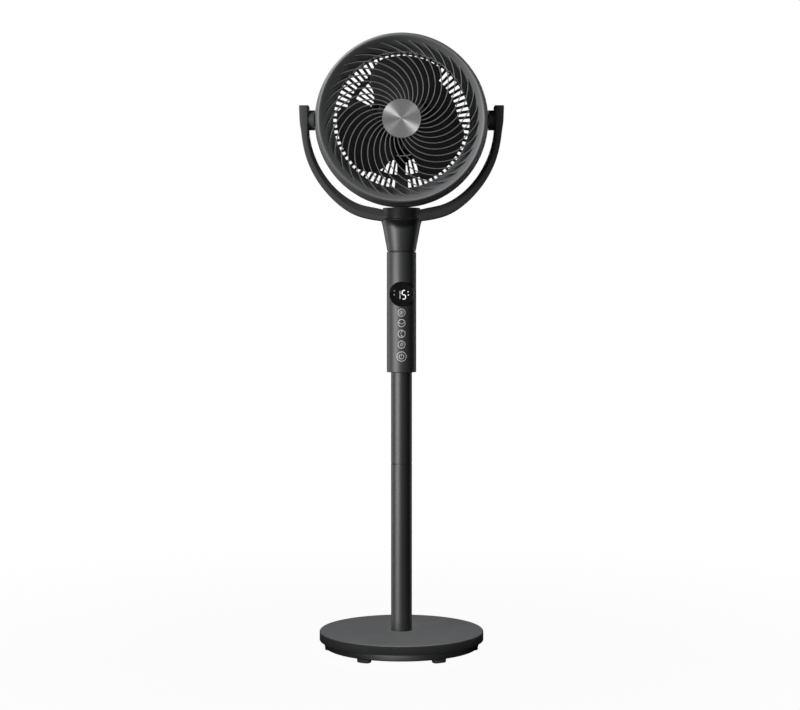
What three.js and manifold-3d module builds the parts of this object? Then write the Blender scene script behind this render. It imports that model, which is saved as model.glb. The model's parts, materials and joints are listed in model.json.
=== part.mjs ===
// Pedestal fan: round weighted base, pole, control column, swivelling U-shaped yoke, tilting head.
// Millimetres, +Z up, the fan blows towards -Y. Origin: centre of the base, on the floor.
import * as THREE from "three";
import { mergeVertices } from "three/addons/utils/BufferGeometryUtils.js";
import Module from "manifold-3d";

const wasm = await Module();
wasm.setup();

const GAP = 0.3; // clearance between pieces that touch
const FINE = 48; // sides of the large round pieces
const MEDIUM = 32;
const COARSE = 20;
const ROUGH = 12;

// ---------------------------------------------------------------- driving dimensions

const BASE = { radius: 131, top: 32, wallBottom: 17.2, wall: 2.6, edge: 1.6 };
const TRAY = { radius: 123, bottom: 6, top: 16.9, floor: 2.4, wall: 2.4 };
const WEIGHT = { radius: 112, bottom: 8.7, top: 18 };
const FOOT = { count: 6, ring: 115.5, width: 22, depth: 14, first: 30 };
const POLE = { radius: 16.7, wall: 1.5, seam: 299, top: 456 };
const SOCKET = { flange: 34, tube: 20.4, floorTop: 21.3, top: 29 };
const CLAMP = { head: 15, headBottom: 2.4, shank: 4.6, top: 26 };
const COLUMN = { radius: 23.4, bottom: 445, top: 635.6, wall: 2.2 };
const DISPLAY = { radius: 19.4, z: 569, face: -25, rim: 1, glass: 2 };
const BUTTON = { face: 23.5, back: -17.3, flange: 1.1, lip: 1.2, gap: 0.25 };
const BUTTONS = [
  { name: "timer_button", z: 539.8, radius: 6.7 },
  { name: "swing_button", z: 523.4, radius: 6.7 },
  { name: "tilt_button", z: 506.6, radius: 6.7 },
  { name: "speed_button", z: 489.5, radius: 6.7 },
  { name: "power_button", z: 470.6, radius: 8.4 },
];
const BOARD = { front: -13, back: -11.4, halfWidth: 13, bottom: 462, top: 547.5, switchFront: -16.1 };
const NECK = {
  bottom: 636.9,
  foot: 22.6,
  waist: 30,
  waistZ: 677,
  shoulder: 32.6,
  shoulderZ: 685.5,
  block: 29.5,
  wall: 2.8,
};
const PIVOT = 843.7; // height of the tilt axis
const YOKE = { halfDepth: 18, bevel: 6.5, top: 22.3, headClear: 141.5 };
// Outer and inner outline of the yoke: [degrees from straight down, distance from the tilt axis]
const YOKE_OUTER = [[0, 159.7], [14, 162.8], [28, 166.8], [46, 165.1], [64, 162.4], [82, 159.3], [90, 160.6]];
const YOKE_INNER = [[0, 144], [16, 144.3], [28, 148.5], [40, 149.6], [58, 148.8], [80, 147.4], [90, 145.8]];
// Width of the narrow front face of an arm: [degrees from straight down, millimetres]
const YOKE_FACE = [[0, 8.1], [76, 8.1], [90, 12.6]];
const BOSS = { radius: 15.8, end: 149.4, bore: 6.5, wallOuter: 137.9 };
const PIN = { radius: 4, bush: 6.2 };
const TILT_MOTOR = { radius: 12.5, inner: 150.3, outer: 157.6 };
const DUCT = { frontRadius: 107.3, backRadius: 111.4, wall: 2.2, front: -14, back: 50 };
const RIB = { count: 34, start: 32, tip: 122, seat: 123.5, front: -36.4, depth: 7.5, thick: 1.4, phase: -5.5 };
const HUB = { radius: 30.6, badge: 29.8, badgeFront: -37.4, badgeBack: -36 };
const REAR = {
  hub: 52.4,
  front: 50.8,
  back: 54.4,
  strut: 14,
  closed: [[-14, 62], [158, 188]], // directions between which the inner row has no slots
  rows: [
    { count: 36, inner: 91, outer: 110.2, width: 4.4, full: true },
    { count: 30, inner: 55.6, outer: 83, width: 3.8, full: false },
  ],
};
const BLADE = { count: 3, y: 7, thick: 2, pitch: 15, camber: 3, first: 85, hub: 30, steps: 5 };
// Reach of a blade either side of its middle line: [distance from the shaft, degrees ahead, degrees behind]
const BLADE_EDGES = [
  [28.6, 60, 48], [45, 59, 44], [54, 57, 41], [62.5, 50.3, 38],
  [75, 45.5, 36.6], [88, 39, 37], [97, 31, 36], [102.5, 23, 32],
];
const MOTOR = { radius: 44, front: 26, back: 58, shaft: 4 };

// ---------------------------------------------------------------- shape helpers

function solid(geometry) {
  const bare = geometry.index ? geometry.toNonIndexed() : geometry.clone();
  bare.deleteAttribute("normal");
  bare.deleteAttribute("uv");
  const merged = mergeVertices(bare, 1e-3);
  return new wasm.Manifold(new wasm.Mesh({
    numProp: 3,
    vertProperties: new Float32Array(merged.attributes.position.array),
    triVerts: new Uint32Array(merged.index.array),
  }));
}

// A profile of [radius, height] points turned about the x, y or z axis.
function turned(profile, axis = "z", sides = MEDIUM) {
  const onAxis = profile[0][0] === 0 && profile.at(-1)[0] === 0;
  const closed = onAxis ? profile : [...profile, profile[0]];
  const loop = onAxis ? [...profile, profile[0]] : closed;
  let area = 0;
  for (let i = 1; i < loop.length; i += 1) {
    area += loop[i - 1][0] * loop[i][1] - loop[i][0] * loop[i - 1][1];
  }
  const points = closed.map(([r, h]) => new THREE.Vector2(r, h));
  if (area < 0) points.reverse();
  const geometry = new THREE.LatheGeometry(points, sides);
  if (axis === "z") geometry.rotateX(Math.PI / 2);
  if (axis === "x") geometry.rotateZ(-Math.PI / 2);
  return solid(geometry);
}

function rod(radius, from, to, axis = "z", sides = COARSE) {
  return turned([[0, from], [radius, from], [radius, to], [0, to]], axis, sides);
}

function tube(outer, inner, from, to, axis = "z", sides = COARSE) {
  return turned([[inner, from], [outer, from], [outer, to], [inner, to]], axis, sides);
}

function block(x0, x1, y0, y1, z0, z1) {
  const geometry = new THREE.BoxGeometry(x1 - x0, y1 - y0, z1 - z0);
  geometry.translate((x0 + x1) / 2, (y0 + y1) / 2, (z0 + z1) / 2);
  return solid(geometry);
}

// Rings of points joined into one closed skin. The ends are stitched straight across, so a ring
// has an even count and its second half runs back beside the first.
function loft(rings) {
  const count = rings[0].length;
  const faces = [];
  for (let i = 1; i < rings.length; i += 1) {
    for (let k = 0; k < count; k += 1) {
      const next = (k + 1) % count;
      const [a, b, c, d] = [rings[i - 1][k], rings[i - 1][next], rings[i][next], rings[i][k]];
      faces.push(a, b, c, a, c, d);
    }
  }
  const last = rings.at(-1);
  for (let k = 0; k < count / 2 - 1; k += 1) {
    const [a, b, c, d] = [k, k + 1, count - 2 - k, count - 1 - k];
    faces.push(rings[0][a], rings[0][c], rings[0][b], rings[0][a], rings[0][d], rings[0][c]);
    faces.push(last[a], last[b], last[c], last[a], last[c], last[d]);
  }
  const made = solid(new THREE.BufferGeometry().setFromPoints(faces));
  if (made.volume() > 0) return made;
  for (let i = 0; i < faces.length; i += 3) {
    [faces[i + 1], faces[i + 2]] = [faces[i + 2], faces[i + 1]];
  }
  return solid(new THREE.BufferGeometry().setFromPoints(faces));
}

// A flat outline in x and z, given its thickness along y.
function plate(shape, from, to, sides) {
  const geometry = new THREE.ExtrudeGeometry(shape, {
    depth: to - from,
    bevelEnabled: false,
    curveSegments: sides,
  });
  geometry.rotateX(Math.PI / 2);
  geometry.translate(0, to, 0);
  return solid(geometry);
}

// Straight-line reading of a list of [position, value] pairs.
function along(pairs, at) {
  const next = Math.max(1, pairs.findIndex(([position]) => position >= at - 1e-9));
  const [[p0, v0], [p1, v1]] = [pairs[next - 1], pairs[next]];
  return v0 + ((v1 - v0) * (at - p0)) / (p1 - p0);
}

const radians = (degrees) => (degrees * Math.PI) / 180;
const FAR = 400; // past the fan on any side

const finishes = {
  charcoal: { color: 0x303234, roughness: 0.55, metalness: 0 },
  black: { color: 0x1c1d1f, roughness: 0.6, metalness: 0 },
  glass: { color: 0x050506, roughness: 0.08, metalness: 0 },
  coated: { color: 0x2c2e30, roughness: 0.5, metalness: 0.2 },
  steel: { color: 0x9a9ca0, roughness: 0.35, metalness: 1 },
  aluminium: { color: 0xb4b5b7, roughness: 0.3, metalness: 1 },
  brass: { color: 0xb08d4c, roughness: 0.35, metalness: 1 },
  rubber: { color: 0x161616, roughness: 0.9, metalness: 0 },
  circuit: { color: 0x1f5a3a, roughness: 0.6, metalness: 0 },
};

const group = new THREE.Group();
group.name = "pedestal_fan";

function add(name, shape, finish) {
  const { vertProperties, triVerts } = shape.getMesh();
  const geometry = new THREE.BufferGeometry();
  geometry.setAttribute("position", new THREE.BufferAttribute(vertProperties, 3));
  geometry.setIndex(new THREE.BufferAttribute(triVerts, 1));
  const mesh = new THREE.Mesh(geometry, new THREE.MeshStandardMaterial(finishes[finish]));
  mesh.name = name;
  group.add(mesh);
}

// ---------------------------------------------------------------- base

const poleHole = POLE.radius + GAP;
const coverInside = BASE.radius - BASE.wall;
const coverUnder = BASE.top - BASE.wall;
add("base_cover", turned([
  [poleHole, BASE.top],
  [BASE.radius - BASE.edge, BASE.top],
  [BASE.radius, BASE.top - BASE.edge],
  [BASE.radius, BASE.wallBottom],
  [coverInside, BASE.wallBottom],
  [coverInside, coverUnder],
  [poleHole, coverUnder],
], "z", FINE), "charcoal");

// The power inlet is a short gland through the back of the tray.
const inletHeight = (TRAY.bottom + TRAY.top) / 2 + 0.7;
const inletRadius = 3.6;
const inletHole = rod(inletRadius + GAP, TRAY.radius - 12, TRAY.radius + 5, "y", ROUGH)
  .translate([0, 0, inletHeight]);
const tray = turned([
  [CLAMP.shank + GAP, TRAY.bottom],
  [TRAY.radius - 1, TRAY.bottom],
  [TRAY.radius, TRAY.bottom + 1],
  [TRAY.radius, TRAY.top],
  [TRAY.radius - TRAY.wall, TRAY.top],
  [TRAY.radius - TRAY.wall, TRAY.bottom + TRAY.floor],
  [CLAMP.shank + GAP, TRAY.bottom + TRAY.floor],
], "z", FINE);
add("base_tray", tray.subtract(inletHole), "black");
add("power_inlet", tube(inletRadius, 2.1, TRAY.radius - 8, TRAY.radius + 4, "y", ROUGH)
  .translate([0, 0, inletHeight]), "rubber");

add("base_weight", tube(WEIGHT.radius, CLAMP.shank + GAP, WEIGHT.bottom, WEIGHT.top, "z", FINE), "steel");

add("pole_socket", turned([
  [CLAMP.shank + GAP, WEIGHT.top + GAP],
  [SOCKET.flange, WEIGHT.top + GAP],
  [SOCKET.flange, SOCKET.floorTop],
  [SOCKET.tube, SOCKET.floorTop],
  [SOCKET.tube, SOCKET.top],
  [poleHole, SOCKET.top],
  [poleHole, SOCKET.floorTop],
  [CLAMP.shank + GAP, SOCKET.floorTop],
], "z", COARSE), "steel");

add("clamp_screw", turned([
  [0, CLAMP.headBottom],
  [CLAMP.head - 1, CLAMP.headBottom],
  [CLAMP.head, CLAMP.headBottom + 1],
  [CLAMP.head, TRAY.bottom - GAP],
  [CLAMP.shank, TRAY.bottom - GAP],
  [CLAMP.shank, CLAMP.top],
  [0, CLAMP.top],
], "z", COARSE), "steel");

const footEdge = 1.2;
const footTop = TRAY.bottom - GAP;
const footOutline = (inset, z) => Array.from({ length: ROUGH }, (_, k) => {
  const turn = (2 * Math.PI * k) / ROUGH;
  const x = Math.cos(turn) * (FOOT.depth / 2 - inset);
  return new THREE.Vector3(x, Math.sin(turn) * (FOOT.width / 2 - inset), z);
});
const footShape = loft([footOutline(footEdge, 0), footOutline(0, footEdge), footOutline(0, footTop)]);
for (let i = 0; i < FOOT.count; i += 1) {
  const angle = FOOT.first + (360 / FOOT.count) * i - 90;
  add(`foot_${i + 1}`, footShape.translate([FOOT.ring, 0, 0]).rotate([0, 0, angle]), "rubber");
}

// ---------------------------------------------------------------- pole and column

const poleInside = POLE.radius - POLE.wall;
const coupler = { length: 48, wall: 2 };
add("lower_pole", tube(POLE.radius, poleInside, SOCKET.floorTop + GAP, POLE.seam, "z", MEDIUM), "coated");
add("upper_pole", tube(POLE.radius, poleInside, POLE.seam + GAP, POLE.top, "z", MEDIUM), "coated");
add("pole_coupler", tube(
  poleInside - GAP,
  poleInside - GAP - coupler.wall,
  POLE.seam - coupler.length / 2,
  POLE.seam + coupler.length / 2,
  "z",
  MEDIUM,
), "steel");

const columnInside = COLUMN.radius - COLUMN.wall;
const columnEdge = 0.8;
const columnWall = turned([
  [columnInside, COLUMN.bottom],
  [COLUMN.radius - columnEdge, COLUMN.bottom],
  [COLUMN.radius, COLUMN.bottom + columnEdge],
  [COLUMN.radius, COLUMN.top - columnEdge],
  [COLUMN.radius - columnEdge, COLUMN.top],
  [columnInside, COLUMN.top],
], "z", FINE);
const halfGap = GAP / 2;
const frontHalf = block(-FAR, FAR, -FAR, -halfGap, 0, 3 * FAR);
const rearHalf = block(-FAR, FAR, halfGap, FAR, 0, 3 * FAR);

let frontShell = columnWall.intersect(frontHalf)
  .subtract(rod(DISPLAY.radius + GAP, -FAR, -1, "y", MEDIUM).translate([0, 0, DISPLAY.z]));
for (const { z, radius } of BUTTONS) {
  frontShell = frontShell.subtract(
    rod(radius + BUTTON.gap, -FAR, -1, "y", COARSE).translate([0, 0, z]),
  );
}
add("column_front_shell", frontShell, "charcoal");
add("column_rear_shell", columnWall.intersect(rearHalf), "charcoal");

const collarHeight = 13;
add("column_collar", tube(
  columnInside - GAP,
  poleHole,
  COLUMN.bottom + 1,
  COLUMN.bottom + 1 + collarHeight,
  "z",
  MEDIUM,
), "black");

// The display is a round drum let into the column, so its back follows the column wall.
const columnCore = rod(columnInside + GAP, COLUMN.bottom, COLUMN.top, "z", FINE);
const displayDrum = tube(DISPLAY.radius, DISPLAY.radius - DISPLAY.rim, DISPLAY.face, -1, "y", MEDIUM)
  .translate([0, 0, DISPLAY.z]);
add("display_rim", displayDrum.subtract(columnCore).intersect(frontHalf), "black");
const windowRadius = DISPLAY.radius - DISPLAY.rim - GAP;
const windowBack = DISPLAY.face + GAP + DISPLAY.glass;
add("display_window", rod(windowRadius, DISPLAY.face + GAP, windowBack, "y", MEDIUM)
  .translate([0, 0, DISPLAY.z]), "glass");
const moduleDepth = 4.6;
add("display_module", rod(windowRadius - 1, windowBack + GAP, windowBack + GAP + moduleDepth, "y", COARSE)
  .translate([0, 0, DISPLAY.z]), "circuit");

// Each cap is cut to the curve of the column, with a lip behind the wall that keeps it in.
const capCurve = rod(BUTTON.face, COLUMN.bottom, COLUMN.top, "z", FINE);
const lipCurve = rod(columnInside - GAP, COLUMN.bottom, COLUMN.top, "z", FINE);
let board = block(
  -BOARD.halfWidth,
  BOARD.halfWidth,
  BOARD.front,
  BOARD.back,
  BOARD.bottom,
  BOARD.top,
);
const switchHalf = 3;
for (const { name, z, radius } of BUTTONS) {
  const cap = rod(radius, -COLUMN.radius - 2, BUTTON.back, "y", COARSE).translate([0, 0, z]);
  const lip = rod(radius + BUTTON.lip, BUTTON.back - BUTTON.flange, BUTTON.back, "y", COARSE)
    .translate([0, 0, z])
    .intersect(lipCurve);
  add(name, cap.intersect(capCurve).add(lip), "charcoal");
  board = board.add(block(
    -switchHalf,
    switchHalf,
    BOARD.switchFront,
    BOARD.front + 0.1,
    z - switchHalf,
    z + switchHalf,
  ));
}
add("control_board", board, "circuit");

// Swivel drive: a geared motor set off-centre, its shaft on the column axis.
const swivel = { motorRadius: 13, motorOffset: 4, motorBottom: 592, motorTop: 611, shaft: 2.6 };
const spindle = { radius: 8.6, bore: 5, bottom: 614, top: 672, flange: 18, flangeBottom: 644 };
const swivelMotor = rod(swivel.motorRadius, swivel.motorBottom, swivel.motorTop, "z", COARSE)
  .translate([0, swivel.motorOffset, 0])
  .add(rod(swivel.shaft, swivel.motorTop - 1, spindle.bottom + 10, "z", ROUGH));
add("swivel_motor", swivelMotor, "steel");
const bearing = { bottom: 624, top: 635, ring: 22.3, collar: 19, collarTop: 639.5 };
add("swivel_bearing", turned([
  [spindle.radius + GAP, bearing.bottom],
  [columnInside - GAP, bearing.bottom],
  [columnInside - GAP, COLUMN.top + GAP],
  [bearing.ring, COLUMN.top + GAP],
  [bearing.ring, NECK.bottom - GAP],
  [bearing.collar, NECK.bottom - GAP],
  [bearing.collar, bearing.collarTop],
  [bearing.collar - 2.4, bearing.collarTop],
  [bearing.collar - 2.4, bearing.top],
  [spindle.radius + GAP, bearing.top],
], "z", COARSE), "black");

// ---------------------------------------------------------------- yoke

add("swivel_spindle", turned([
  [spindle.bore, spindle.bottom],
  [spindle.radius, spindle.bottom],
  [spindle.radius, spindle.flangeBottom],
  [spindle.flange, spindle.flangeBottom],
  [spindle.flange, spindle.flangeBottom + 4],
  [spindle.radius, spindle.flangeBottom + 4],
  [spindle.radius, spindle.top],
  [spindle.bore, spindle.top],
], "z", COARSE), "steel");

const blockTop = PIVOT - YOKE.headClear + 8;
const neckOutline = (grow) => [
  [0, NECK.bottom],
  [NECK.foot + grow, NECK.bottom],
  [NECK.waist + grow, NECK.waistZ],
  [NECK.shoulder + grow, NECK.shoulderZ - grow],
  [NECK.shoulder + grow, NECK.shoulderZ + 1 + grow],
  [NECK.block + grow, NECK.shoulderZ + 4 + grow],
  [NECK.block + grow, blockTop],
  [0, blockTop],
];
const saddle = solid(new THREE.SphereGeometry(YOKE.headClear, FINE, MEDIUM).rotateX(Math.PI / 2))
  .translate([0, 0, PIVOT]);
const cavityTop = 698;
const neckCavity = turned([
  [0, NECK.bottom - 1],
  [NECK.foot - NECK.wall, NECK.bottom - 1],
  [NECK.foot - NECK.wall, NECK.bottom],
  [NECK.waist - NECK.wall, NECK.waistZ],
  [NECK.block - NECK.wall, NECK.shoulderZ],
  [NECK.block - NECK.wall, cavityTop - 5],
  [NECK.block - NECK.wall - 5, cavityTop],
  [0, cavityTop],
]);
const neck = turned(neckOutline(0), "z", FINE).subtract(saddle).subtract(neckCavity);
add("neck_front_shell", neck.intersect(frontHalf), "charcoal");
add("neck_rear_shell", neck.intersect(rearHalf), "charcoal");

// One section of the right arm: a narrow face front and back, bevelled towards the head.
function armSection(outer, inner, width) {
  const ring = (at, y) => new THREE.Vector3(at.x, y, at.z);
  const face = inner.clone().sub(outer).setLength(width).add(outer);
  return [
    ring(outer, -YOKE.halfDepth),
    ring(face, -YOKE.halfDepth),
    ring(inner, YOKE.bevel - YOKE.halfDepth),
    ring(inner, YOKE.halfDepth - YOKE.bevel),
    ring(face, YOKE.halfDepth),
    ring(outer, YOKE.halfDepth),
  ];
}
const armStart = 7;
const armSteps = 18;
const armRings = [];
for (let i = 0; i <= armSteps; i += 1) {
  const fromDown = armStart + ((90 - armStart) * i) / armSteps;
  const turn = radians(fromDown);
  const ray = new THREE.Vector3(Math.sin(turn), 0, -Math.cos(turn));
  const at = (outline) => ray.clone().multiplyScalar(along(outline, fromDown));
  armRings.push(armSection(at(YOKE_OUTER), at(YOKE_INNER), along(YOKE_FACE, fromDown)));
}
const topOuter = new THREE.Vector3(YOKE_OUTER.at(-1)[1] + 0.8, 0, YOKE.top);
const topInner = new THREE.Vector3(YOKE_INNER.at(-1)[1], 0, YOKE.top);
armRings.push(armSection(topOuter, topInner, YOKE_FACE.at(-1)[1]));

const neckClear = turned(neckOutline(GAP), "z", FINE);
const armBody = loft(armRings).translate([0, 0, PIVOT]).subtract(neckClear);
const onPivot = (shape) => shape.translate([0, 0, PIVOT]);
const mirrored = (shape) => shape.mirror([1, 0, 0]);

const recessFrom = 140;
const bossRecess = onPivot(rod(BOSS.radius + GAP, recessFrom, BOSS.end + 0.6, "x", MEDIUM));
const pinEnd = 156;
const pinHole = onPivot(rod(PIN.radius + GAP, recessFrom, pinEnd, "x", COARSE));
const motorPocket = onPivot(rod(TILT_MOTOR.radius + GAP, recessFrom, TILT_MOTOR.outer, "x", COARSE));
add("right_yoke_arm", armBody.subtract(bossRecess).subtract(motorPocket), "charcoal");
add("left_yoke_arm", mirrored(armBody.subtract(bossRecess).subtract(pinHole)), "charcoal");

const pinStart = 138.6;
const bushEnd = BOSS.end - 0.4;
add("left_pivot_pin", mirrored(onPivot(rod(PIN.radius, pinStart, pinEnd - GAP, "x", ROUGH))), "steel");
add("tilt_motor", onPivot(
  rod(TILT_MOTOR.radius, TILT_MOTOR.inner, TILT_MOTOR.outer - GAP, "x", COARSE)
    .add(rod(PIN.radius, pinStart, TILT_MOTOR.inner + 1, "x", ROUGH)),
), "steel");

// ---------------------------------------------------------------- head

// The boss seats on the round wall of the head.
const headWall = rod(BOSS.wallOuter, -2 * BOSS.radius, 2 * BOSS.radius, "y", FINE);
const boss = tube(BOSS.radius, BOSS.bore, BOSS.wallOuter - 10, BOSS.end, "x", MEDIUM).subtract(headWall);
const bush = tube(PIN.bush, PIN.radius + GAP, pinStart, bushEnd, "x", COARSE);
add("right_pivot_boss", onPivot(boss), "charcoal");
add("left_pivot_boss", mirrored(onPivot(boss)), "charcoal");
add("right_pivot_bush", onPivot(bush), "brass");
add("left_pivot_bush", mirrored(onPivot(bush)), "brass");

const seam = -18; // where the front grille meets the housing
const ductFront = DUCT.frontRadius + DUCT.wall;
const ductBack = DUCT.backRadius + DUCT.wall;
add("head_housing", onPivot(turned([
  [135, seam + halfGap],
  [137.5, 2],
  [136.4, 17],
  [131.6, 31],
  [122.5, 43],
  [ductBack, DUCT.back],
  [DUCT.backRadius, DUCT.back],
  [DUCT.frontRadius, DUCT.front],
  [ductFront, DUCT.front],
  [ductBack, DUCT.back - 3.4],
  [120.5, 41],
  [129.2, 29.8],
  [134, 16.4],
  [135, 4],
  [132.6, seam + halfGap],
], "y", FINE)), "charcoal");

// Front grille: a bezel that funnels back to the duct, curved ribs and hub are one moulding.
const bezel = turned([
  [135, seam - halfGap],
  [132.4, -40],
  [130.8, -44.4],
  [128.6, -45],
  [126, -43.2],
  [122, -36.6],
  [115.5, -26.8],
  [110.8, -20.4],
  [107.8, DUCT.front - 0.5],
  [110, DUCT.front - 0.5],
  [112.7, -19],
  [117.6, -25.4],
  [124.1, -35.2],
  [127.8, -40.6],
  [129.4, -40.6],
  [132.6, seam - halfGap],
], "y", FINE);
const ribSteps = 5;
const ribTwist = { linear: 0.603, square: 0.00177, start: 31.5 };
// Direction of a rib, in degrees, at a distance from the hub centre.
function ribAngle(r) {
  const out = r - ribTwist.start;
  return RIB.phase + ribTwist.linear * out + ribTwist.square * out * out;
}
// The open slot between two ribs follows one rib outwards and the next one back.
const slotSides = [[], []];
for (let i = 0; i <= ribSteps; i += 1) {
  const r = RIB.start + ((RIB.tip - RIB.start) * i) / ribSteps;
  const lean = radians(ribAngle(r + 0.5) - ribAngle(r - 0.5)) * r;
  const halfRib = (RIB.thick / 2) * Math.hypot(1, lean) / r;
  const point = (turn) => new THREE.Vector2(r * Math.cos(turn), r * Math.sin(turn));
  slotSides[0].push(point(radians(ribAngle(r)) + halfRib));
  slotSides[1].unshift(point(radians(ribAngle(r) + 360 / RIB.count) - halfRib));
}
const slot = plate(new THREE.Shape(slotSides.flat()), -60, 0, 1);
const slots = [];
for (let i = 0; i < RIB.count; i += 1) {
  slots.push(slot.rotate([0, (-360 / RIB.count) * i, 0]));
}
const disc = turned([
  [0, HUB.badgeBack + GAP],
  [HUB.radius, HUB.badgeBack + GAP],
  [HUB.radius, RIB.front],
  [RIB.seat, RIB.front],
  [RIB.seat, RIB.front + RIB.depth],
  [0, RIB.front + RIB.depth],
], "y", FINE);
const ribs = disc.subtract(wasm.Manifold.union(slots));
add("front_grille", onPivot(bezel.add(ribs)), "charcoal");
add("hub_badge", onPivot(turned([
  [0, HUB.badgeFront],
  [HUB.badge - 0.6, HUB.badgeFront],
  [HUB.badge, HUB.badgeFront + 0.6],
  [HUB.badge, HUB.badgeBack],
  [0, HUB.badgeBack],
], "y", MEDIUM)), "aluminium");

// Rear grille: a plate with two rows of slots, and one wide strut for the motor lead.
const rearShape = new THREE.Shape();
rearShape.absarc(0, 0, ductBack - GAP, 0, 2 * Math.PI);
const circleHole = new THREE.Path();
circleHole.absarc(0, 0, REAR.hub + GAP, 0, 2 * Math.PI, true);
rearShape.holes.push(circleHole);
const down = 270; // direction of the wide strut
for (const { count, inner, outer, width, full } of REAR.rows) {
  for (let i = 0; i < count; i += 1) {
    const middle = (360 / count) * (i + 0.5);
    const half = 180 / count;
    const inClosed = REAR.closed.some(([from, to]) => (middle > from && middle < to) || middle - 360 > from);
    if (!full && inClosed) continue;
    const corner = (r, sign) => {
      const bar = Math.abs(middle + sign * half - down) < 1 ? REAR.strut : width;
      const turn = radians(middle + sign * half) - (sign * bar) / 2 / r;
      return new THREE.Vector2(r * Math.cos(turn), r * Math.sin(turn));
    };
    const corners = [corner(inner, -1), corner(inner, 1), corner(outer, 1), corner(outer, -1)];
    rearShape.holes.push(new THREE.Path(corners));
  }
}
add("rear_grille", onPivot(plate(rearShape, REAR.front, REAR.back, FINE)), "charcoal");

const coverFront = 34;
const coverBack = 64;
add("rear_motor_cover", onPivot(turned([
  [REAR.hub, coverFront],
  [REAR.hub, REAR.back],
  [REAR.hub - 2.5, REAR.back + 4],
  [REAR.hub - 9, coverBack - 1.4],
  [REAR.hub - 20, coverBack],
  [0, coverBack],
  [0, coverBack - 2.4],
  [REAR.hub - 20, coverBack - 2.4],
  [REAR.hub - 10.4, coverBack - 4],
  [REAR.hub - 4.6, REAR.back + 2.6],
  [REAR.hub - 2.4, REAR.back - 1],
  [REAR.hub - 2.4, coverFront],
].reverse(), "y", MEDIUM)), "charcoal");

add("fan_motor", onPivot(turned([
  [MOTOR.shaft + GAP, 14],
  [18, 14],
  [18, MOTOR.front],
  [MOTOR.radius - 4, MOTOR.front],
  [MOTOR.radius, MOTOR.front + 4],
  [MOTOR.radius, MOTOR.back - 4],
  [MOTOR.radius - 4, MOTOR.back],
  [MOTOR.shaft + GAP, MOTOR.back],
], "y", COARSE)), "steel");

// ---------------------------------------------------------------- impeller

// A blade as sections across the chord, swept from the root to the tip.
function bladeSection(r, ahead, behind) {
  const front = [];
  const back = [];
  for (let k = 0; k <= BLADE.steps; k += 1) {
    const across = (2 * k) / BLADE.steps - 1;
    const fromMiddle = (ahead * (1 + across) - behind * (1 - across)) / 2;
    const turn = radians(fromMiddle);
    const camber = BLADE.camber * (1 - across * across);
    const y = BLADE.y + (BLADE.pitch * fromMiddle) / BLADE_EDGES[0][1] - camber;
    const thick = k === 0 || k === BLADE.steps ? BLADE.thick / 2 : BLADE.thick;
    front.push(new THREE.Vector3(r * Math.cos(turn), y - thick / 2, r * Math.sin(turn)));
    back.push(new THREE.Vector3(r * Math.cos(turn), y + thick / 2, r * Math.sin(turn)));
  }
  return [...front, ...back.reverse()];
}
const blade = loft(BLADE_EDGES.map(([r, ahead, behind]) => bladeSection(r, ahead, behind)));
const bladeHub = turned([
  [MOTOR.shaft + GAP, -14],
  [20, -14],
  [27, -12],
  [BLADE.hub, -8],
  [BLADE.hub, 23],
  [BLADE.hub - 2.5, 23],
  [BLADE.hub - 2.5, -7],
  [25, -9.4],
  [9, -10.5],
  [9, 10],
  [MOTOR.shaft + GAP, 10],
], "y", MEDIUM);
const impeller = [bladeHub];
for (let i = 0; i < BLADE.count; i += 1) {
  impeller.push(blade.rotate([0, -(BLADE.first + (360 / BLADE.count) * i), 0]));
}
add("fan_blade", onPivot(wasm.Manifold.union(impeller)), "black");
add("motor_shaft", onPivot(rod(MOTOR.shaft, -20, MOTOR.back + 2, "y", ROUGH)), "steel");
add("blade_nut", onPivot(turned([
  [MOTOR.shaft + GAP, -14.3],
  [11, -14.3],
  [11, -18],
  [8, -21.5],
  [0, -23],
  [0, -20.3],
  [MOTOR.shaft + GAP, -20.3],
].reverse(), "y", COARSE)), "black");

export default group;
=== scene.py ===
"""Looks of a pedestal fan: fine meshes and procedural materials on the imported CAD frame."""
import json
import math

import bmesh
import bpy
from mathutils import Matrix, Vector

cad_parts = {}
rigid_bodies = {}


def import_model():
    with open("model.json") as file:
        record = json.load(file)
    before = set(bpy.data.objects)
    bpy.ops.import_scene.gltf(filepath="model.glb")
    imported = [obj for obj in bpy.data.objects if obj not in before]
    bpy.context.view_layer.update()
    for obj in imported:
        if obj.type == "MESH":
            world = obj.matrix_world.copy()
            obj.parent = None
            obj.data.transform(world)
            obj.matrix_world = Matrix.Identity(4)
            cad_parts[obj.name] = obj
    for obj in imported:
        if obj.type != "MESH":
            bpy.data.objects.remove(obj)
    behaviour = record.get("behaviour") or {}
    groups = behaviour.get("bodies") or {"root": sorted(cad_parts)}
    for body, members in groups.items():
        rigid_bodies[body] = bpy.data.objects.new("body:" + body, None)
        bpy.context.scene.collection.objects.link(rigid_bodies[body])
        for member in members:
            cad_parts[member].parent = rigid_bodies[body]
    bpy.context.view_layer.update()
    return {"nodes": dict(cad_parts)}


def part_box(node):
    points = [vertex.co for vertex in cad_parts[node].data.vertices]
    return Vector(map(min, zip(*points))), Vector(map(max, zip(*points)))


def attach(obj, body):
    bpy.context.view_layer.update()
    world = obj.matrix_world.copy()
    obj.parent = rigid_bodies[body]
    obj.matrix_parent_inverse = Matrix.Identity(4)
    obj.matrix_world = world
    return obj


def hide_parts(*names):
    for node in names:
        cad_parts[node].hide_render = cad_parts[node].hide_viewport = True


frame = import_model()
NODES = frame["nodes"]
MM = 0.001


def centre_mm(node):
    """Middle of a CAD node, in millimetres."""
    low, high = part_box(node)
    return (low + high) / 2 / MM


def span_mm(node):
    """Lowest and highest corner of a CAD node, in millimetres."""
    low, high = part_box(node)
    return low / MM, high / MM


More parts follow.
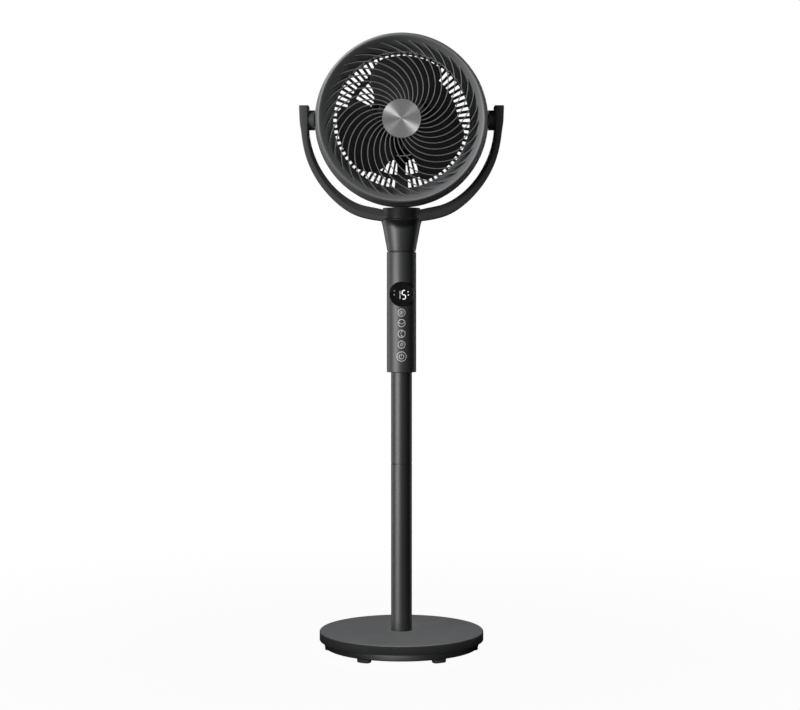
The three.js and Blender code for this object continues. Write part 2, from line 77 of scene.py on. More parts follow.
PIVOT = centre_mm("head_housing").z
BASE_LOW, BASE_HIGH = span_mm("base_cover")
TRAY_LOW, TRAY_HIGH = span_mm("base_tray")
COLUMN_LOW, COLUMN_HIGH = span_mm("column_front_shell")
DISPLAY_Z = centre_mm("display_window").z
GAP = 0.3

# --- camera

CAMERA_PLACE = (-0.0024, -2.862, 0.592)
CAMERA_DOWN = 2.4  # degrees below level
CAMERA_LENS = 81
SENSOR_WIDTH = 36
FARTHEST = 100


def make_camera():
    data = bpy.data.cameras.new("camera")
    data.lens = CAMERA_LENS
    data.sensor_width = SENSOR_WIDTH
    data.clip_end = FARTHEST
    camera = bpy.data.objects.new("camera", data)
    camera.location = CAMERA_PLACE
    camera.rotation_euler = (math.radians(90 - CAMERA_DOWN), 0, 0)
    bpy.context.scene.collection.objects.link(camera)
    bpy.context.scene.camera = camera


make_camera()

# --- materials


class Shader:
    """A Principled material with short ways to add nodes."""

    def __init__(self, name):
        self.material = bpy.data.materials.new(name)
        self.material.use_nodes = True
        self.tree = self.material.node_tree
        self.bsdf = self.tree.nodes["Principled BSDF"]
        self.place = self.node("ShaderNodeTexCoord").outputs["Object"]

    def node(self, kind, **settings):
        node = self.tree.nodes.new(kind)
        for key, value in settings.items():
            setattr(node, key, value)
        return node

    def link(self, source, target):
        self.tree.links.new(source, target)

    def feed(self, name, source):
        self.link(source, self.bsdf.inputs[name])

    def noise(self, per_metre, detail=3.0, stretch=(1, 1, 1)):
        mapping = self.node("ShaderNodeMapping")
        mapping.inputs["Scale"].default_value = stretch
        self.link(self.place, mapping.inputs["Vector"])
        noise = self.node("ShaderNodeTexNoise")
        noise.inputs["Scale"].default_value = per_metre
        noise.inputs["Detail"].default_value = detail
        self.link(mapping.outputs["Vector"], noise.inputs["Vector"])
        return noise.outputs["Fac"]

    def ramp(self, source, stops):
        ramp = self.node("ShaderNodeValToRGB")
        band = ramp.color_ramp
        while len(band.elements) < len(stops):
            band.elements.new(0.5)
        for element, (position, colour) in zip(band.elements, stops):
            element.position = position
            element.color = (*colour, 1)
        self.link(source, ramp.inputs["Fac"])
        return ramp.outputs["Color"]

    def vector(self, operation, source, by=(0, 0, 0)):
        maths = self.node("ShaderNodeVectorMath", operation=operation)
        maths.inputs[1].default_value = by
        self.link(source, maths.inputs[0])
        return maths.outputs["Value" if operation == "LENGTH" else "Vector"]

    def span(self, source, low, high, from_low=0.3, from_high=0.7):
        spread = self.node("ShaderNodeMapRange")
        spread.inputs["From Min"].default_value = from_low
        spread.inputs["From Max"].default_value = from_high
        spread.inputs["To Min"].default_value = low
        spread.inputs["To Max"].default_value = high
        self.link(source, spread.inputs["Value"])
        return spread.outputs["Result"]

    def bump(self, height, depth_mm, strength=1.0):
        bump = self.node("ShaderNodeBump")
        bump.inputs["Strength"].default_value = strength
        bump.inputs["Distance"].default_value = depth_mm * MM
        self.link(height, bump.inputs["Height"])
        self.feed("Normal", bump.outputs["Normal"])

    def edges(self, amount):
        """Bright where the surface is sharply convex."""
        geometry = self.node("ShaderNodeNewGeometry")
        return self.span(geometry.outputs["Pointiness"], 0, amount, 0.5, 0.62)


def grey(level, tint=0.0):
    """A near-grey colour, a little cool for a positive tint."""
    return (level * (1 - tint), level, level * (1 + tint))


def moulded(name, level, roughness, grain_mm=0.45, depth_mm=0.02, tint=0.03):
    """Moulded plastic with a spark-eroded grain, faint flow variation and a lighter colour on sharply convex
    edges.
    """
    s = Shader(name)
    flow = s.noise(18, 4)
    colour = s.ramp(flow, [(0.3, grey(level * 0.9, tint)), (0.7, grey(level * 1.1, tint))])
    mix = s.node("ShaderNodeMix", data_type="RGBA")
    # lighter colour, nearly twice the base level, where the surface is sharply convex
    s.link(s.edges(0.5), mix.inputs["Factor"])
    s.link(colour, mix.inputs[6])
    mix.inputs[7].default_value = (*grey(level * 1.9, tint), 1)
    s.feed("Base Color", mix.outputs[2])
    grain = s.noise(1 / (grain_mm * MM), 2)
    s.feed("Roughness", s.span(grain, roughness - 0.07, roughness + 0.07))
    s.bump(grain, depth_mm, 0.6)
    return s.material


def coated(name, level, roughness):
    """Powder-coated steel tube, with a fine orange peel."""
    s = Shader(name)
    tone = s.noise(9, 3)
    s.feed("Base Color", s.ramp(tone, [(0.3, grey(level * 0.93, 0.02)), (0.7, grey(level * 1.07, 0.02))]))
    peel = s.noise(900, 2)
    s.feed("Roughness", s.span(peel, roughness - 0.04, roughness + 0.05))
    s.bump(peel, 0.012, 0.5)
    return s.material


def glossy_black(name):
    s = Shader(name)
    smear = s.noise(55, 4)
    s.feed("Base Color", s.ramp(smear, [(0.3, grey(0.006)), (0.7, grey(0.012))]))
    s.feed("Roughness", s.span(smear, 0.1, 0.22))
    s.bsdf.inputs["Coat Weight"].default_value = 0.5
    s.bsdf.inputs["Coat Roughness"].default_value = 0.05
    s.bump(s.noise(160, 2), 0.004, 0.3)
    return s.material


def turned_metal(name, level, roughness, ring_mm=0.22):
    """Metal turned about the y axis through the hub: rings, with the anisotropic sheen they give."""
    s = Shader(name)
    s.bsdf.inputs["Metallic"].default_value = 1
    s.bsdf.inputs["Anisotropic"].default_value = 0.85
    s.bsdf.inputs["Anisotropic Rotation"].default_value = 0.25
    from_hub = s.vector("SUBTRACT", s.place, (0, 0, PIVOT * MM))
    radius = s.vector("LENGTH", s.vector("MULTIPLY", from_hub, (1, 0, 1)))
    rings = s.node("ShaderNodeTexNoise", noise_dimensions="1D")
    rings.inputs["Scale"].default_value = 1 / (ring_mm * MM)
    rings.inputs["Detail"].default_value = 3
    s.link(radius, rings.inputs["W"])
    ring = rings.outputs["Fac"]
    s.feed("Base Color", s.ramp(ring, [(0.25, grey(level * 0.8)), (0.75, grey(level * 1.1))]))
    s.feed("Roughness", s.span(ring, roughness - 0.06, roughness + 0.06))
    tangent = s.node("ShaderNodeTangent", direction_type="RADIAL", axis="Y")
    s.feed("Tangent", tangent.outputs["Tangent"])
    s.bump(ring, 0.003, 0.4)
    return s.material


def plain_metal(name, colour, roughness):
    """Machined metal with drawn scratches and a little staining."""
    s = Shader(name)
    s.bsdf.inputs["Metallic"].default_value = 1
    scratch = s.noise(240, 4, (1, 1, 0.05))
    dim = tuple(c * 0.75 for c in colour)
    s.feed("Base Color", s.ramp(scratch, [(0.3, dim), (0.7, colour)]))
    s.feed("Roughness", s.span(s.noise(60, 3), roughness - 0.08, roughness + 0.12))
    s.bump(scratch, 0.006, 0.4)
    return s.material


def rubbery(name):
    s = Shader(name)
    dust = s.noise(140, 5)
    s.feed("Base Color", s.ramp(dust, [(0.35, grey(0.012)), (0.75, grey(0.03))]))
    s.feed("Roughness", s.span(dust, 0.75, 0.95))
    s.bump(s.noise(2200, 2), 0.03, 0.6)
    return s.material


def circuit(name):
    s = Shader(name)
    cells = s.node("ShaderNodeTexVoronoi", distance="MANHATTAN")
    cells.inputs["Scale"].default_value = 420
    s.link(s.place, cells.inputs["Vector"])
    mask = s.ramp(cells.outputs["Distance"], [(0.2, (0.35, 0.26, 0.08)), (0.28, (0.01, 0.09, 0.035))])
    s.feed("Base Color", mask)
    s.feed("Roughness", s.span(s.noise(300), 0.3, 0.5))
    s.bump(cells.outputs["Distance"], 0.04, 0.5)
    return s.material


def printed(name, level, glow=0.0):
    """Pad-printed light ink, slightly uneven, or lit from behind when glow is above zero."""
    s = Shader(name)
    ink = s.noise(1400, 3)
    tone = s.ramp(ink, [(0.3, grey(level * 0.88)), (0.65, grey(level))])
    s.feed("Base Color", tone)
    s.feed("Roughness", s.span(ink, 0.45, 0.6))
    if glow:
        s.feed("Emission Color", tone)
        s.bsdf.inputs["Emission Strength"].default_value = glow
    s.bump(ink, 0.01, 0.4)
    return s.material


PLASTIC = moulded("charcoal_plastic", 0.046, 0.62)
DARK_PLASTIC = moulded("black_plastic", 0.014, 0.5)
BLADE_PLASTIC = moulded("blade_plastic", 0.012, 0.55, 0.6, 0.015)
TUBE = coated("coated_tube", 0.028, 0.42)
GLASS = glossy_black("display_glass")
BADGE = turned_metal("turned_aluminium", 0.55, 0.32)
STEEL = plain_metal("steel", (0.5, 0.5, 0.51), 0.35)
BRASS = plain_metal("brass", (0.62, 0.43, 0.17), 0.32)
RUBBER = rubbery("rubber")
CIRCUIT = circuit("circuit_board")
INK = printed("button_ink", 0.52)
LIT = printed("display_light", 0.85, 0.75)
DIM_LIT = printed("display_dim_light", 0.42, 0.5)
FAINT_LIT = printed("display_faint_light", 0.3, 0.3)
COLUMN_PLASTIC = moulded("satin_plastic", 0.032, 0.45, 0.4, 0.012)
RIM_PLASTIC = moulded("rim_plastic", 0.012, 0.3, 0.5, 0.01)

# --- mesh tools


SHARP = 38  # an edge that turns by more degrees than this stays sharp


def make_piece(name, points, faces, material, body=None, slot=None, replaces=(), sharp=SHARP):
    """A mesh piece from points in millimetres, riding on a CAD body."""
    mesh = bpy.data.meshes.new(name)
    mesh.from_pydata([Vector(p) * MM for p in points], [], faces)
    work = bmesh.new()
    work.from_mesh(mesh)
    bmesh.ops.remove_doubles(work, verts=work.verts, dist=1e-7)
    bmesh.ops.recalc_face_normals(work, faces=work.faces)
    work.to_mesh(mesh)
    work.free()
    piece = bpy.data.objects.new(name, mesh)
    bpy.context.scene.collection.objects.link(piece)
    mesh.materials.append(material)
    smooth(piece, sharp)
    if body:
        settle(piece, body, replaces)
    return piece


def settle(piece, body, replaces=()):
    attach(piece, body)
    if replaces:
        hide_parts(*replaces)


def smooth(piece, sharp=SHARP):
    mesh = piece.data
    mesh.polygons.foreach_set("use_smooth", [True] * len(mesh.polygons))
    mesh.set_sharp_from_angle(angle=math.radians(sharp))
    mesh.update()


def join(pieces, name):
    """Several pieces of one material as one mesh."""
    work = bmesh.new()
    for piece in pieces:
        work.from_mesh(piece.data)
    mesh = bpy.data.meshes.new(name)
    work.to_mesh(mesh)
    work.free()
    mesh.materials.append(pieces[0].data.materials[0])
    for piece in pieces:
        bpy.data.objects.remove(piece)
    whole = bpy.data.objects.new(name, mesh)
    bpy.context.scene.collection.objects.link(whole)
    return whole


def carve(piece, cutters):
    """Cuts shapes out of a piece and drops the cutters."""
    for cutter in cutters:
        modifier = piece.modifiers.new("cut", "BOOLEAN")
        modifier.operation = "DIFFERENCE"
        modifier.solver = "EXACT"
        modifier.object = cutter
    bpy.context.view_layer.update()
    depsgraph = bpy.context.evaluated_depsgraph_get()
    mesh = bpy.data.meshes.new_from_object(piece.evaluated_get(depsgraph))
    piece.modifiers.clear()
    piece.data = mesh
    for cutter in cutters:
        bpy.data.objects.remove(cutter)
    return piece


def carved(piece, cutters, body, node, sharp=SHARP):
    """A piece cut to shape that takes the place of a CAD node."""
    carve(piece, cutters)
    settle(piece, body, [node])
    smooth(piece, sharp)


def corner_arc(before, here, after, radius, share, steps):
    """Points on the small arc that stands in for a corner; it takes at most a share of each side."""
    to_before, to_after = before - here, after - here
    reach = min(radius, to_before.length * share, to_after.length * share)
    start = here + to_before.normalized() * reach
    end = here + to_after.normalized() * reach
    points = []
    for k in range(steps + 1):
        t = k / steps
        points.append(start * (1 - t) ** 2 + here * 2 * t * (1 - t) + end * t ** 2)
    return points


def round_corners(profile, radius, closed=True, steps=4):
    """The profile with each corner turned into a small arc."""
    result = []
    count = len(profile)
    for i, point in enumerate(profile):
        if not closed and i in (0, count - 1):
            result.append(point)
            continue
        neighbours = Vector(profile[i - 1]), Vector(point), Vector(profile[(i + 1) % count])
        result += [tuple(on_curve) for on_curve in corner_arc(*neighbours, radius, 0.45, steps)]
    return result


AXES = {
    "x": lambda r, h, c, s: (h, r * c, r * s),
    "y": lambda r, h, c, s: (r * c, h, r * s),
    "z": lambda r, h, c, s: (r * c, r * s, h),
}


def turn(name, profile, axis, material, centre=(0, 0, 0), sides=192, **place):
    """A profile of (radius, height) points turned about an axis."""
    on_axis = abs(profile[0][0]) < 1e-9 and abs(profile[-1][0]) < 1e-9
    put = AXES[axis]
    points = []
    rows = []
    for radius, height in profile:
        row = []
        if radius < 1e-9:
            points.append(Vector(put(0, height, 1, 0)) + Vector(centre))
            row = [len(points) - 1] * sides
        else:
            for k in range(sides):
                angle = 2 * math.pi * k / sides
                points.append(Vector(put(radius, height, math.cos(angle), math.sin(angle))) + Vector(centre))
                row.append(len(points) - 1)
        rows.append(row)
    if not on_axis:
        rows.append(rows[0])
    faces = []
    for lower, upper in zip(rows, rows[1:]):
        for k in range(sides):
            n = (k + 1) % sides
            face = list(dict.fromkeys((lower[k], lower[n], upper[n], upper[k])))
            if len(face) > 2:
                faces.append(face)
    return make_piece(name, points, faces, material, **place)


def rod(name, radius, low, high, axis, centre=(0, 0, 0), sides=96):
    """A plain round bar, used as a cutter."""
    return turn(name, [(0, low), (radius, low), (radius, high), (0, high)], axis, PLASTIC, centre, sides)


def sleeve_faces(ring_count, count):
    """Faces between rings that each have count points."""
    faces = []
    for i in range(ring_count - 1):
        for k in range(count):
            n = (k + 1) % count
            faces.append([i * count + k, i * count + n, (i + 1) * count + n, (i + 1) * count + k])
    return faces


def skin(rings):
    """Points and faces of the closed skin over rings of points."""
    points = [p for ring in rings for p in ring]
    count = len(rings[0])
    ends = [list(range(count)), [len(points) - 1 - k for k in range(count)]]
    return points, ends + sleeve_faces(len(rings), count)


def loft(name, rings, material, **place):
    return make_piece(name, *skin(rings), material, **place)


def smooth_read(pairs, at):
    """A smooth curve through (position, value) pairs."""
    if at <= pairs[0][0]:
        return pairs[0][1]
    if at >= pairs[-1][0]:
        return pairs[-1][1]
    i = next(k for k in range(1, len(pairs)) if pairs[k][0] >= at)
    (x0, v0), (x1, v1) = pairs[i - 1], pairs[i]
    width = x1 - x0
    plain = (v1 - v0) / width
    slope0 = (v1 - pairs[i - 2][1]) / (x1 - pairs[i - 2][0]) if i > 1 else plain
    slope1 = (pairs[i + 1][1] - v0) / (pairs[i + 1][0] - x0) if i + 1 < len(pairs) else plain
    t = (at - x0) / width
    return (
        v0 * (1 + 2 * t) * (1 - t) ** 2
        + v1 * t * t * (3 - 2 * t)
        + slope0 * width * t * (1 - t) ** 2
        - slope1 * width * t * t * (1 - t)
    )


def circle(radius, sides, centre=(0, 0)):
    points = []
    for k in range(sides):
        angle = 2 * math.pi * k / sides
        points.append((centre[0] + radius * math.cos(angle), centre[1] + radius * math.sin(angle)))
    return points


# --- base

BASE_R = BASE_HIGH.x
BASE_TOP = BASE_HIGH.z
BASE_BOTTOM = BASE_LOW.z
POLE_R = span_mm("lower_pole")[1].x
POLE_HOLE = POLE_R + GAP
COVER_WALL = 2.6
COVER_SKIRT = 3.2
BASE_EDGE = 1.2

turn("base_cover_fine", round_corners([
    (POLE_HOLE, BASE_TOP),
    (BASE_R - BASE_EDGE, BASE_TOP),
    (BASE_R, BASE_TOP - BASE_EDGE),
    (BASE_R, BASE_BOTTOM),
    (BASE_R - COVER_SKIRT, BASE_BOTTOM),
    (BASE_R - COVER_SKIRT, BASE_TOP - COVER_WALL),
    (POLE_HOLE, BASE_TOP - COVER_WALL),
], 0.7), "z", PLASTIC, sides=256, body="stand", slot="charcoal_plastic", replaces=["base_cover"])

TRAY_R = TRAY_HIGH.x
TRAY_WALL = 2.4
CLAMP_HOLE = 4.9
INLET_HOLE, INLET_OUTER, INLET_BORE = 3.9, 3.6, 2.1
INLET_FROM, INLET_TO = 110, 130
tray = turn("base_tray_fine", round_corners([
    (CLAMP_HOLE, TRAY_LOW.z),
    (TRAY_R - BASE_EDGE, TRAY_LOW.z),
    (TRAY_R, TRAY_LOW.z + BASE_EDGE),
    (TRAY_R, TRAY_HIGH.z),
    (TRAY_R - TRAY_WALL, TRAY_HIGH.z),
    (TRAY_R - TRAY_WALL, TRAY_LOW.z + TRAY_WALL),
    (CLAMP_HOLE, TRAY_LOW.z + TRAY_WALL),
], 0.8), "z", DARK_PLASTIC, sides=256)
inlet_z = centre_mm("power_inlet").z
inlet_hole = rod("inlet_hole", INLET_HOLE, INLET_FROM, INLET_TO, "y", (0, 0, inlet_z), 32)
carved(tray, [inlet_hole], "stand", "base_tray")

inlet_low, inlet_high = span_mm("power_inlet")
turn("power_inlet_fine", round_corners([
    (INLET_BORE, inlet_low.y),
    (INLET_OUTER, inlet_low.y),
    (INLET_OUTER, inlet_high.y - 0.6),
    (INLET_OUTER - 0.5, inlet_high.y),
    (INLET_BORE, inlet_high.y),
], 0.4), "y", RUBBER, (0, 0, inlet_z), 48, body="stand", slot="rubber", replaces=["power_inlet"])

FEET = 6
FOOT_LENGTH, FOOT_DEPTH = 22, 14
FOOT_SQUARENESS = 0.55  # 1 is an ellipse, less is closer to a rectangle
FOOT_CROWN = [(2.2, 0.0), (1.0, 0.35), (0.35, 1.1), (0.1, 2.2)]  # inset at each height


def foot(index):
    """A rubber pad with a crowned edge, turned to face away from the pole."""
    node = f"foot_{index}"
    middle = centre_mm(node)
    high = span_mm(node)[1]
    out = Vector((middle.x, middle.y)).normalized()
    side = Vector((-out.y, out.x))
    rings = []
    for inset, height in [*FOOT_CROWN, (0, high.z)]:
        ring = []
        for k in range(40):
            angle = 2 * math.pi * k / 40
            c, s = math.cos(angle), math.sin(angle)
            u = math.copysign(abs(c) ** FOOT_SQUARENESS, c) * (FOOT_DEPTH / 2 - inset)
            v = math.copysign(abs(s) ** FOOT_SQUARENESS, s) * (FOOT_LENGTH / 2 - inset)
            ring.append((middle.x + out.x * u + side.x * v, middle.y + out.y * u + side.y * v, height))
        rings.append(ring)
    loft(f"foot_pad_{index}", rings, RUBBER, body="stand", slot="rubber", replaces=[node], sharp=60)


for index in range(1, FEET + 1):
    foot(index)

# --- pole

POLE_WALL = 1.5


def tube_section(name, node, top_chamfer, bottom_chamfer):
    low, high = span_mm(node)
    inner = POLE_R - POLE_WALL
    turn(name, [
        (inner, low.z),
        (POLE_R - bottom_chamfer, low.z),
        (POLE_R, low.z + bottom_chamfer),
        (POLE_R, high.z - top_chamfer),
        (POLE_R - top_chamfer, high.z),
        (inner, high.z),
    ], "z", TUBE, sides=160, body="stand", slot="coated_tube", replaces=[node])


tube_section("lower_pole_fine", "lower_pole", 0.5, 0.1)
tube_section("upper_pole_fine", "upper_pole", 0.1, 0.5)

# --- control column

COLUMN_R = COLUMN_HIGH.x
COLUMN_WALL = 2.2
COLUMN_INSIDE = COLUMN_R - COLUMN_WALL
COLUMN_BOTTOM, COLUMN_TOP = COLUMN_LOW.z, COLUMN_HIGH.z
BUTTON_NODES = ["timer_button", "swing_button", "tilt_button", "speed_button", "power_button"]
BUTTON_LIP = 1.2  # how far the hidden lip of a cap reaches past its face
BUTTON_GAP = 0.25


def column_wall(name):
    return turn(name, round_corners([
        (COLUMN_INSIDE, COLUMN_BOTTOM),
        (COLUMN_R - 0.5, COLUMN_BOTTOM),
        (COLUMN_R, COLUMN_BOTTOM + 0.9),
        (COLUMN_R, COLUMN_TOP - 0.7),
        (COLUMN_R - 0.7, COLUMN_TOP),
        (COLUMN_INSIDE, COLUMN_TOP),
    ], 0.4), "z", COLUMN_PLASTIC, sides=256)


FAR, LOW_END, HIGH_END = 300, 400, 1100  # a block this wide and high covers every shell that it halves
POST_FRONT, POST_BACK = -60, -1


def half_space(name, front):
    """A large block that fills the front or the rear half of space."""
    sides = (-FAR, -GAP / 2) if front else (GAP / 2, FAR)
    outline = [(-FAR, LOW_END), (FAR, LOW_END), (FAR, HIGH_END), (-FAR, HIGH_END)]
    return loft(name, [[(x, y, z) for x, z in outline] for y in sides], PLASTIC)


def post(name, radius, z):
    """Cuts a round hole in the front of the column."""
    return rod(name, radius, POST_FRONT, POST_BACK, "y", (0, 0, z))


DISPLAY_R = span_mm("display_rim")[1].x
front = column_wall("column_front_fine")
cutters = [half_space("rear_half", False), post("display_hole", DISPLAY_R + GAP, DISPLAY_Z)]
for node in BUTTON_NODES:
    hole = span_mm(node)[1].x - BUTTON_LIP + BUTTON_GAP
    cutters.append(post("hole_" + node, hole, centre_mm(node).z))
carved(front, cutters, "stand", "column_front_shell")
rear = column_wall("column_rear_fine")
carved(rear, [half_space("front_half", True)], "stand", "column_rear_shell")

# The display: a round drum with a soft front edge, and a gently domed black window.
RIM_FACE = span_mm("display_rim")[0].y
RIM_WALL, RIM_EDGE = 0.9, 0.5
rim = turn("display_rim_fine", round_corners([
    (DISPLAY_R - RIM_WALL, RIM_FACE + 0.35),
    (DISPLAY_R - RIM_EDGE, RIM_FACE),
    (DISPLAY_R, RIM_FACE + 0.9),
    (DISPLAY_R, POST_BACK),
    (DISPLAY_R - RIM_WALL, POST_BACK),
], 0.4), "y", RIM_PLASTIC, (0, 0, DISPLAY_Z), 160)
core = rod("column_core", COLUMN_INSIDE + GAP, COLUMN_BOTTOM, COLUMN_TOP, "z", sides=192)
carved(rim, [core], "stand", "display_rim")

WINDOW_R = DISPLAY_R - 1.2
WINDOW_LOW, WINDOW_HIGH = span_mm("display_window")
WINDOW_CROWN = 0.45
WINDOW_EDGE = 0.25
WINDOW_STEPS = 9
window_profile = [(0, WINDOW_HIGH.y), (WINDOW_R, WINDOW_HIGH.y), (WINDOW_R, WINDOW_LOW.y + 0.9)]
for k in range(WINDOW_STEPS + 1):
    r = WINDOW_R - WINDOW_EDGE - (WINDOW_R - WINDOW_EDGE) * k / WINDOW_STEPS
    window_profile.append((r, WINDOW_LOW.y + WINDOW_CROWN * (r / WINDOW_R) ** 2))
turn("display_window_fine", window_profile, "y", GLASS, (0, 0, DISPLAY_Z), 128,
     body="stand", slot="display_glass", replaces=["display_window"])


INK_LIFT, LIGHT_LIFT = 0.03, 0.06
INK_DEPTH, LIGHT_DEPTH = 0.05, 0.04


def window_y(x, z):
    """Just in front of the domed window."""
    return WINDOW_LOW.y + WINDOW_CROWN * (math.hypot(x, z) / WINDOW_R) ** 2 - LIGHT_LIFT


def arc(radius, start, end, steps=24, centre=(0, 0)):
    points = []
    for k in range(steps + 1):
        angle = math.radians(start + (end - start) * k / steps)
        points.append((centre[0] + radius * math.cos(angle), centre[1] + radius * math.sin(angle)))
    return points


def stroke(points, width, sides=6):
    """Outlines of a line with rounded ends, one for each stretch, in x and z."""
    outlines = []
    for (x0, z0), (x1, z1) in zip(points, points[1:]):
        along = math.degrees(math.atan2(z1 - z0, x1 - x0))
        cap_1 = arc(width / 2, along - 90, along + 90, sides, (x1, z1))
        cap_0 = arc(width / 2, along + 90, along + 270, sides, (x0, z0))
        outlines.append(cap_1 + cap_0)
    return outlines


def decal(name, outlines, surface_y, depth, centre_z, material, slot, body):
    """Thin printed shapes laid on a curved surface."""
    points = []
    faces = []
    for outline in outlines:
        rings = [[(x, surface_y(x, z) + shift, centre_z + z) for x, z in outline] for shift in (0, depth)]
        shape_points, shape_faces = skin(rings)
        faces += [[len(points) + k for k in face] for face in shape_faces]
        points += shape_points
    return make_piece(name, points, faces, material, body=body, slot=slot)


def segment(x, z, length, width, upright):
    """One bar of a seven-segment digit, with pointed ends."""
    half, tip = width / 2, length / 2
    neck = tip - half
    bar = [(-tip, 0), (-neck, half), (neck, half), (tip, 0), (neck, -half), (-neck, -half)]
    if upright:
        bar = [(b, a) for a, b in bar]
    return [(x + a, z + b) for a, b in bar]


DIGIT_HIGH, DIGIT_WIDE, BAR = 13.4, 5.2, 1.35
DIGIT_DROP = -1.0
half_high, half_wide = DIGIT_HIGH / 2, DIGIT_WIDE / 2
FLAT_BAR, UPRIGHT_BAR = DIGIT_WIDE - 1, half_high - 0.5
SEGMENTS = {
    "a": (0, half_high, FLAT_BAR, False),
    "b": (half_wide, half_high / 2, UPRIGHT_BAR, True),
    "c": (half_wide, -half_high / 2, UPRIGHT_BAR, True),
    "d": (0, -half_high, FLAT_BAR, False),
    "f": (-half_wide, half_high / 2, UPRIGHT_BAR, True),
    "g": (0, 0, FLAT_BAR, False),
}


def digit_bars(letters, x):
    bars = []
    for letter in letters:
        dx, dz, length, upright = SEGMENTS[letter]
        bars.append(segment(x + dx, DIGIT_DROP + dz, length, BAR, upright))
    return bars


def lit_shape(name, outlines, light):
    """A lit shape just in front of the window."""
    decal(name, outlines, window_y, LIGHT_DEPTH, DISPLAY_Z, light, "display_glass", "stand")


TENS_X, UNITS_X = -5.0, 3.6
lit_shape("display_tens_digit", digit_bars("bc", TENS_X), DIM_LIT)
lit_shape("display_units_digit", digit_bars("afgcd", UNITS_X), LIT)
lit_shape("display_dots_left", [circle(0.8, 12, (-11.4, 5.2)), circle(0.95, 12, (-11.5, -0.9))], FAINT_LIT)
lit_shape("display_dots_right", [circle(0.85, 12, (10.2, 3.8)), circle(0.9, 12, (10.8, -1.2))], LIT)

# Buttons: caps cut to the curve of the column, each with a printed ring and sign.
CAP_R = COLUMN_R + 0.1
CAP_SIDES = 72
CAP_EDGE = 0.35
CAP_ROWS = 8
RING_WIDTH = 1.25
INK_WIDTH, POWER_INK_WIDTH = 0.85, 1.15
ARROW = 1.9
CURL_STEPS = 40


def arrow_head(x, z, direction, size):
    angle = math.radians(direction)
    tip = (x + size * math.cos(angle), z + size * math.sin(angle))
    wings = []
    for turn_by in (math.radians(110), math.radians(-110)):
        wing = angle + turn_by
        wings.append((x + size * 0.75 * math.cos(wing), z + size * 0.75 * math.sin(wing)))
    return [tip, *wings]


def sign_timer():
    return stroke(arc(2.6, 0, 360), INK_WIDTH) + [circle(1.15, 16)]


def sign_swing():
    bow = stroke(arc(4.2, 215, 325, centre=(0, 3.0)), INK_WIDTH)
    return bow + [arrow_head(-3.2, 0.4, 150, ARROW), arrow_head(3.2, 0.4, 30, ARROW)]


def sign_tilt():
    return [[(z, x) for x, z in outline] for outline in sign_swing()]


def sign_speed():
    curl = []
    for k in range(CURL_STEPS):
        angle = math.radians(-60 + 13 * k)
        radius = 0.7 + 2.3 * k / (CURL_STEPS - 1)
        curl.append((radius * math.cos(angle), radius * math.sin(angle)))
    return stroke(curl, INK_WIDTH)


def sign_power():
    return stroke(arc(3.7, 125, 415), POWER_INK_WIDTH) + stroke([(0, 4.6), (0, 0.4)], POWER_INK_WIDTH)


SIGNS = {
    "timer_button": sign_timer,
    "swing_button": sign_swing,
    "tilt_button": sign_tilt,
    "speed_button": sign_speed,
    "power_button": sign_power,
}


def cap_y(x, _):
    """Just in front of a cap, which curves with the column at every height."""
    return -math.sqrt(CAP_R ** 2 - x * x) - INK_LIFT


def button(node):
    high = span_mm(node)[1]
    radius = high.x - BUTTON_LIP
    z = centre_mm(node).z
    rings = [[(x, high.y, z + dz) for x, dz in circle(radius, CAP_SIDES)]]
    levels = [(radius, 0.35), (radius - 0.12, 0.12), (radius - CAP_EDGE, 0.0)]
    levels += [((radius - CAP_EDGE) * (1 - k / CAP_ROWS), 0.0) for k in range(1, CAP_ROWS)]
    for ring_radius, sink in levels:
        ring = []
        for x, dz in circle(ring_radius, CAP_SIDES):
            ring.append((x, -math.sqrt(CAP_R ** 2 - x * x) + sink, z + dz))
        rings.append(ring)
    loft(node + "_cap", rings, COLUMN_PLASTIC, body=node, slot="charcoal_plastic", replaces=[node])
    signs = stroke(arc(radius - CAP_EDGE - RING_WIDTH / 2, 0, 360, 48), RING_WIDTH) + SIGNS[node]()
    decal(node + "_sign", signs, cap_y, INK_DEPTH, z, INK, "charcoal_plastic", node)


for node in BUTTON_NODES:
    button(node)

# --- neck

NECK_LOW, NECK_HIGH = span_mm("neck_front_shell")
SHOULDER_R = NECK_HIGH.x
SHOULDER_Z = 685.5
NECK_BLOCK = 29.5
NECK_WALL = 2.8
NECK_FOOT = 22.6
NECK_BEND_R, NECK_BEND_Z = 30, 677
NECK_CUT = NECK_HIGH.z + 6  # above the shell, where the saddle trims it
ROOF_Z = 698
HEAD_CLEAR = 141.5
HALF_TURN_STEPS = 96


def neck_wall(name):
    bottom = NECK_LOW.z
    body = turn(name, round_corners([
        (NECK_FOOT - NECK_WALL, bottom),
        (NECK_FOOT - 0.3, bottom),
        (NECK_FOOT + 0.1, bottom + 0.7),
        (NECK_BEND_R, NECK_BEND_Z),
        (SHOULDER_R, SHOULDER_Z),
        (SHOULDER_R, SHOULDER_Z + 1),
        (NECK_BLOCK, SHOULDER_Z + 4),
        (NECK_BLOCK, NECK_CUT),
        (0.5, NECK_CUT),
        (0.5, ROOF_Z),
        (21, ROOF_Z),
        (NECK_BLOCK - NECK_WALL, ROOF_Z - 6),
        (NECK_BLOCK - NECK_WALL, SHOULDER_Z),
        (NECK_BEND_R - NECK_WALL, NECK_BEND_Z),
    ], 1.0), "z", COLUMN_PLASTIC, sides=256)
    ball = []
    for k in range(HALF_TURN_STEPS + 1):
        angle = math.pi * (k / HALF_TURN_STEPS - 0.5)
        ball.append((max(0.0, HEAD_CLEAR * math.cos(angle)), HEAD_CLEAR * math.sin(angle)))
    saddle = turn("saddle", ball, "z", PLASTIC, (0, 0, PIVOT), 192)
    return carve(body, [saddle])


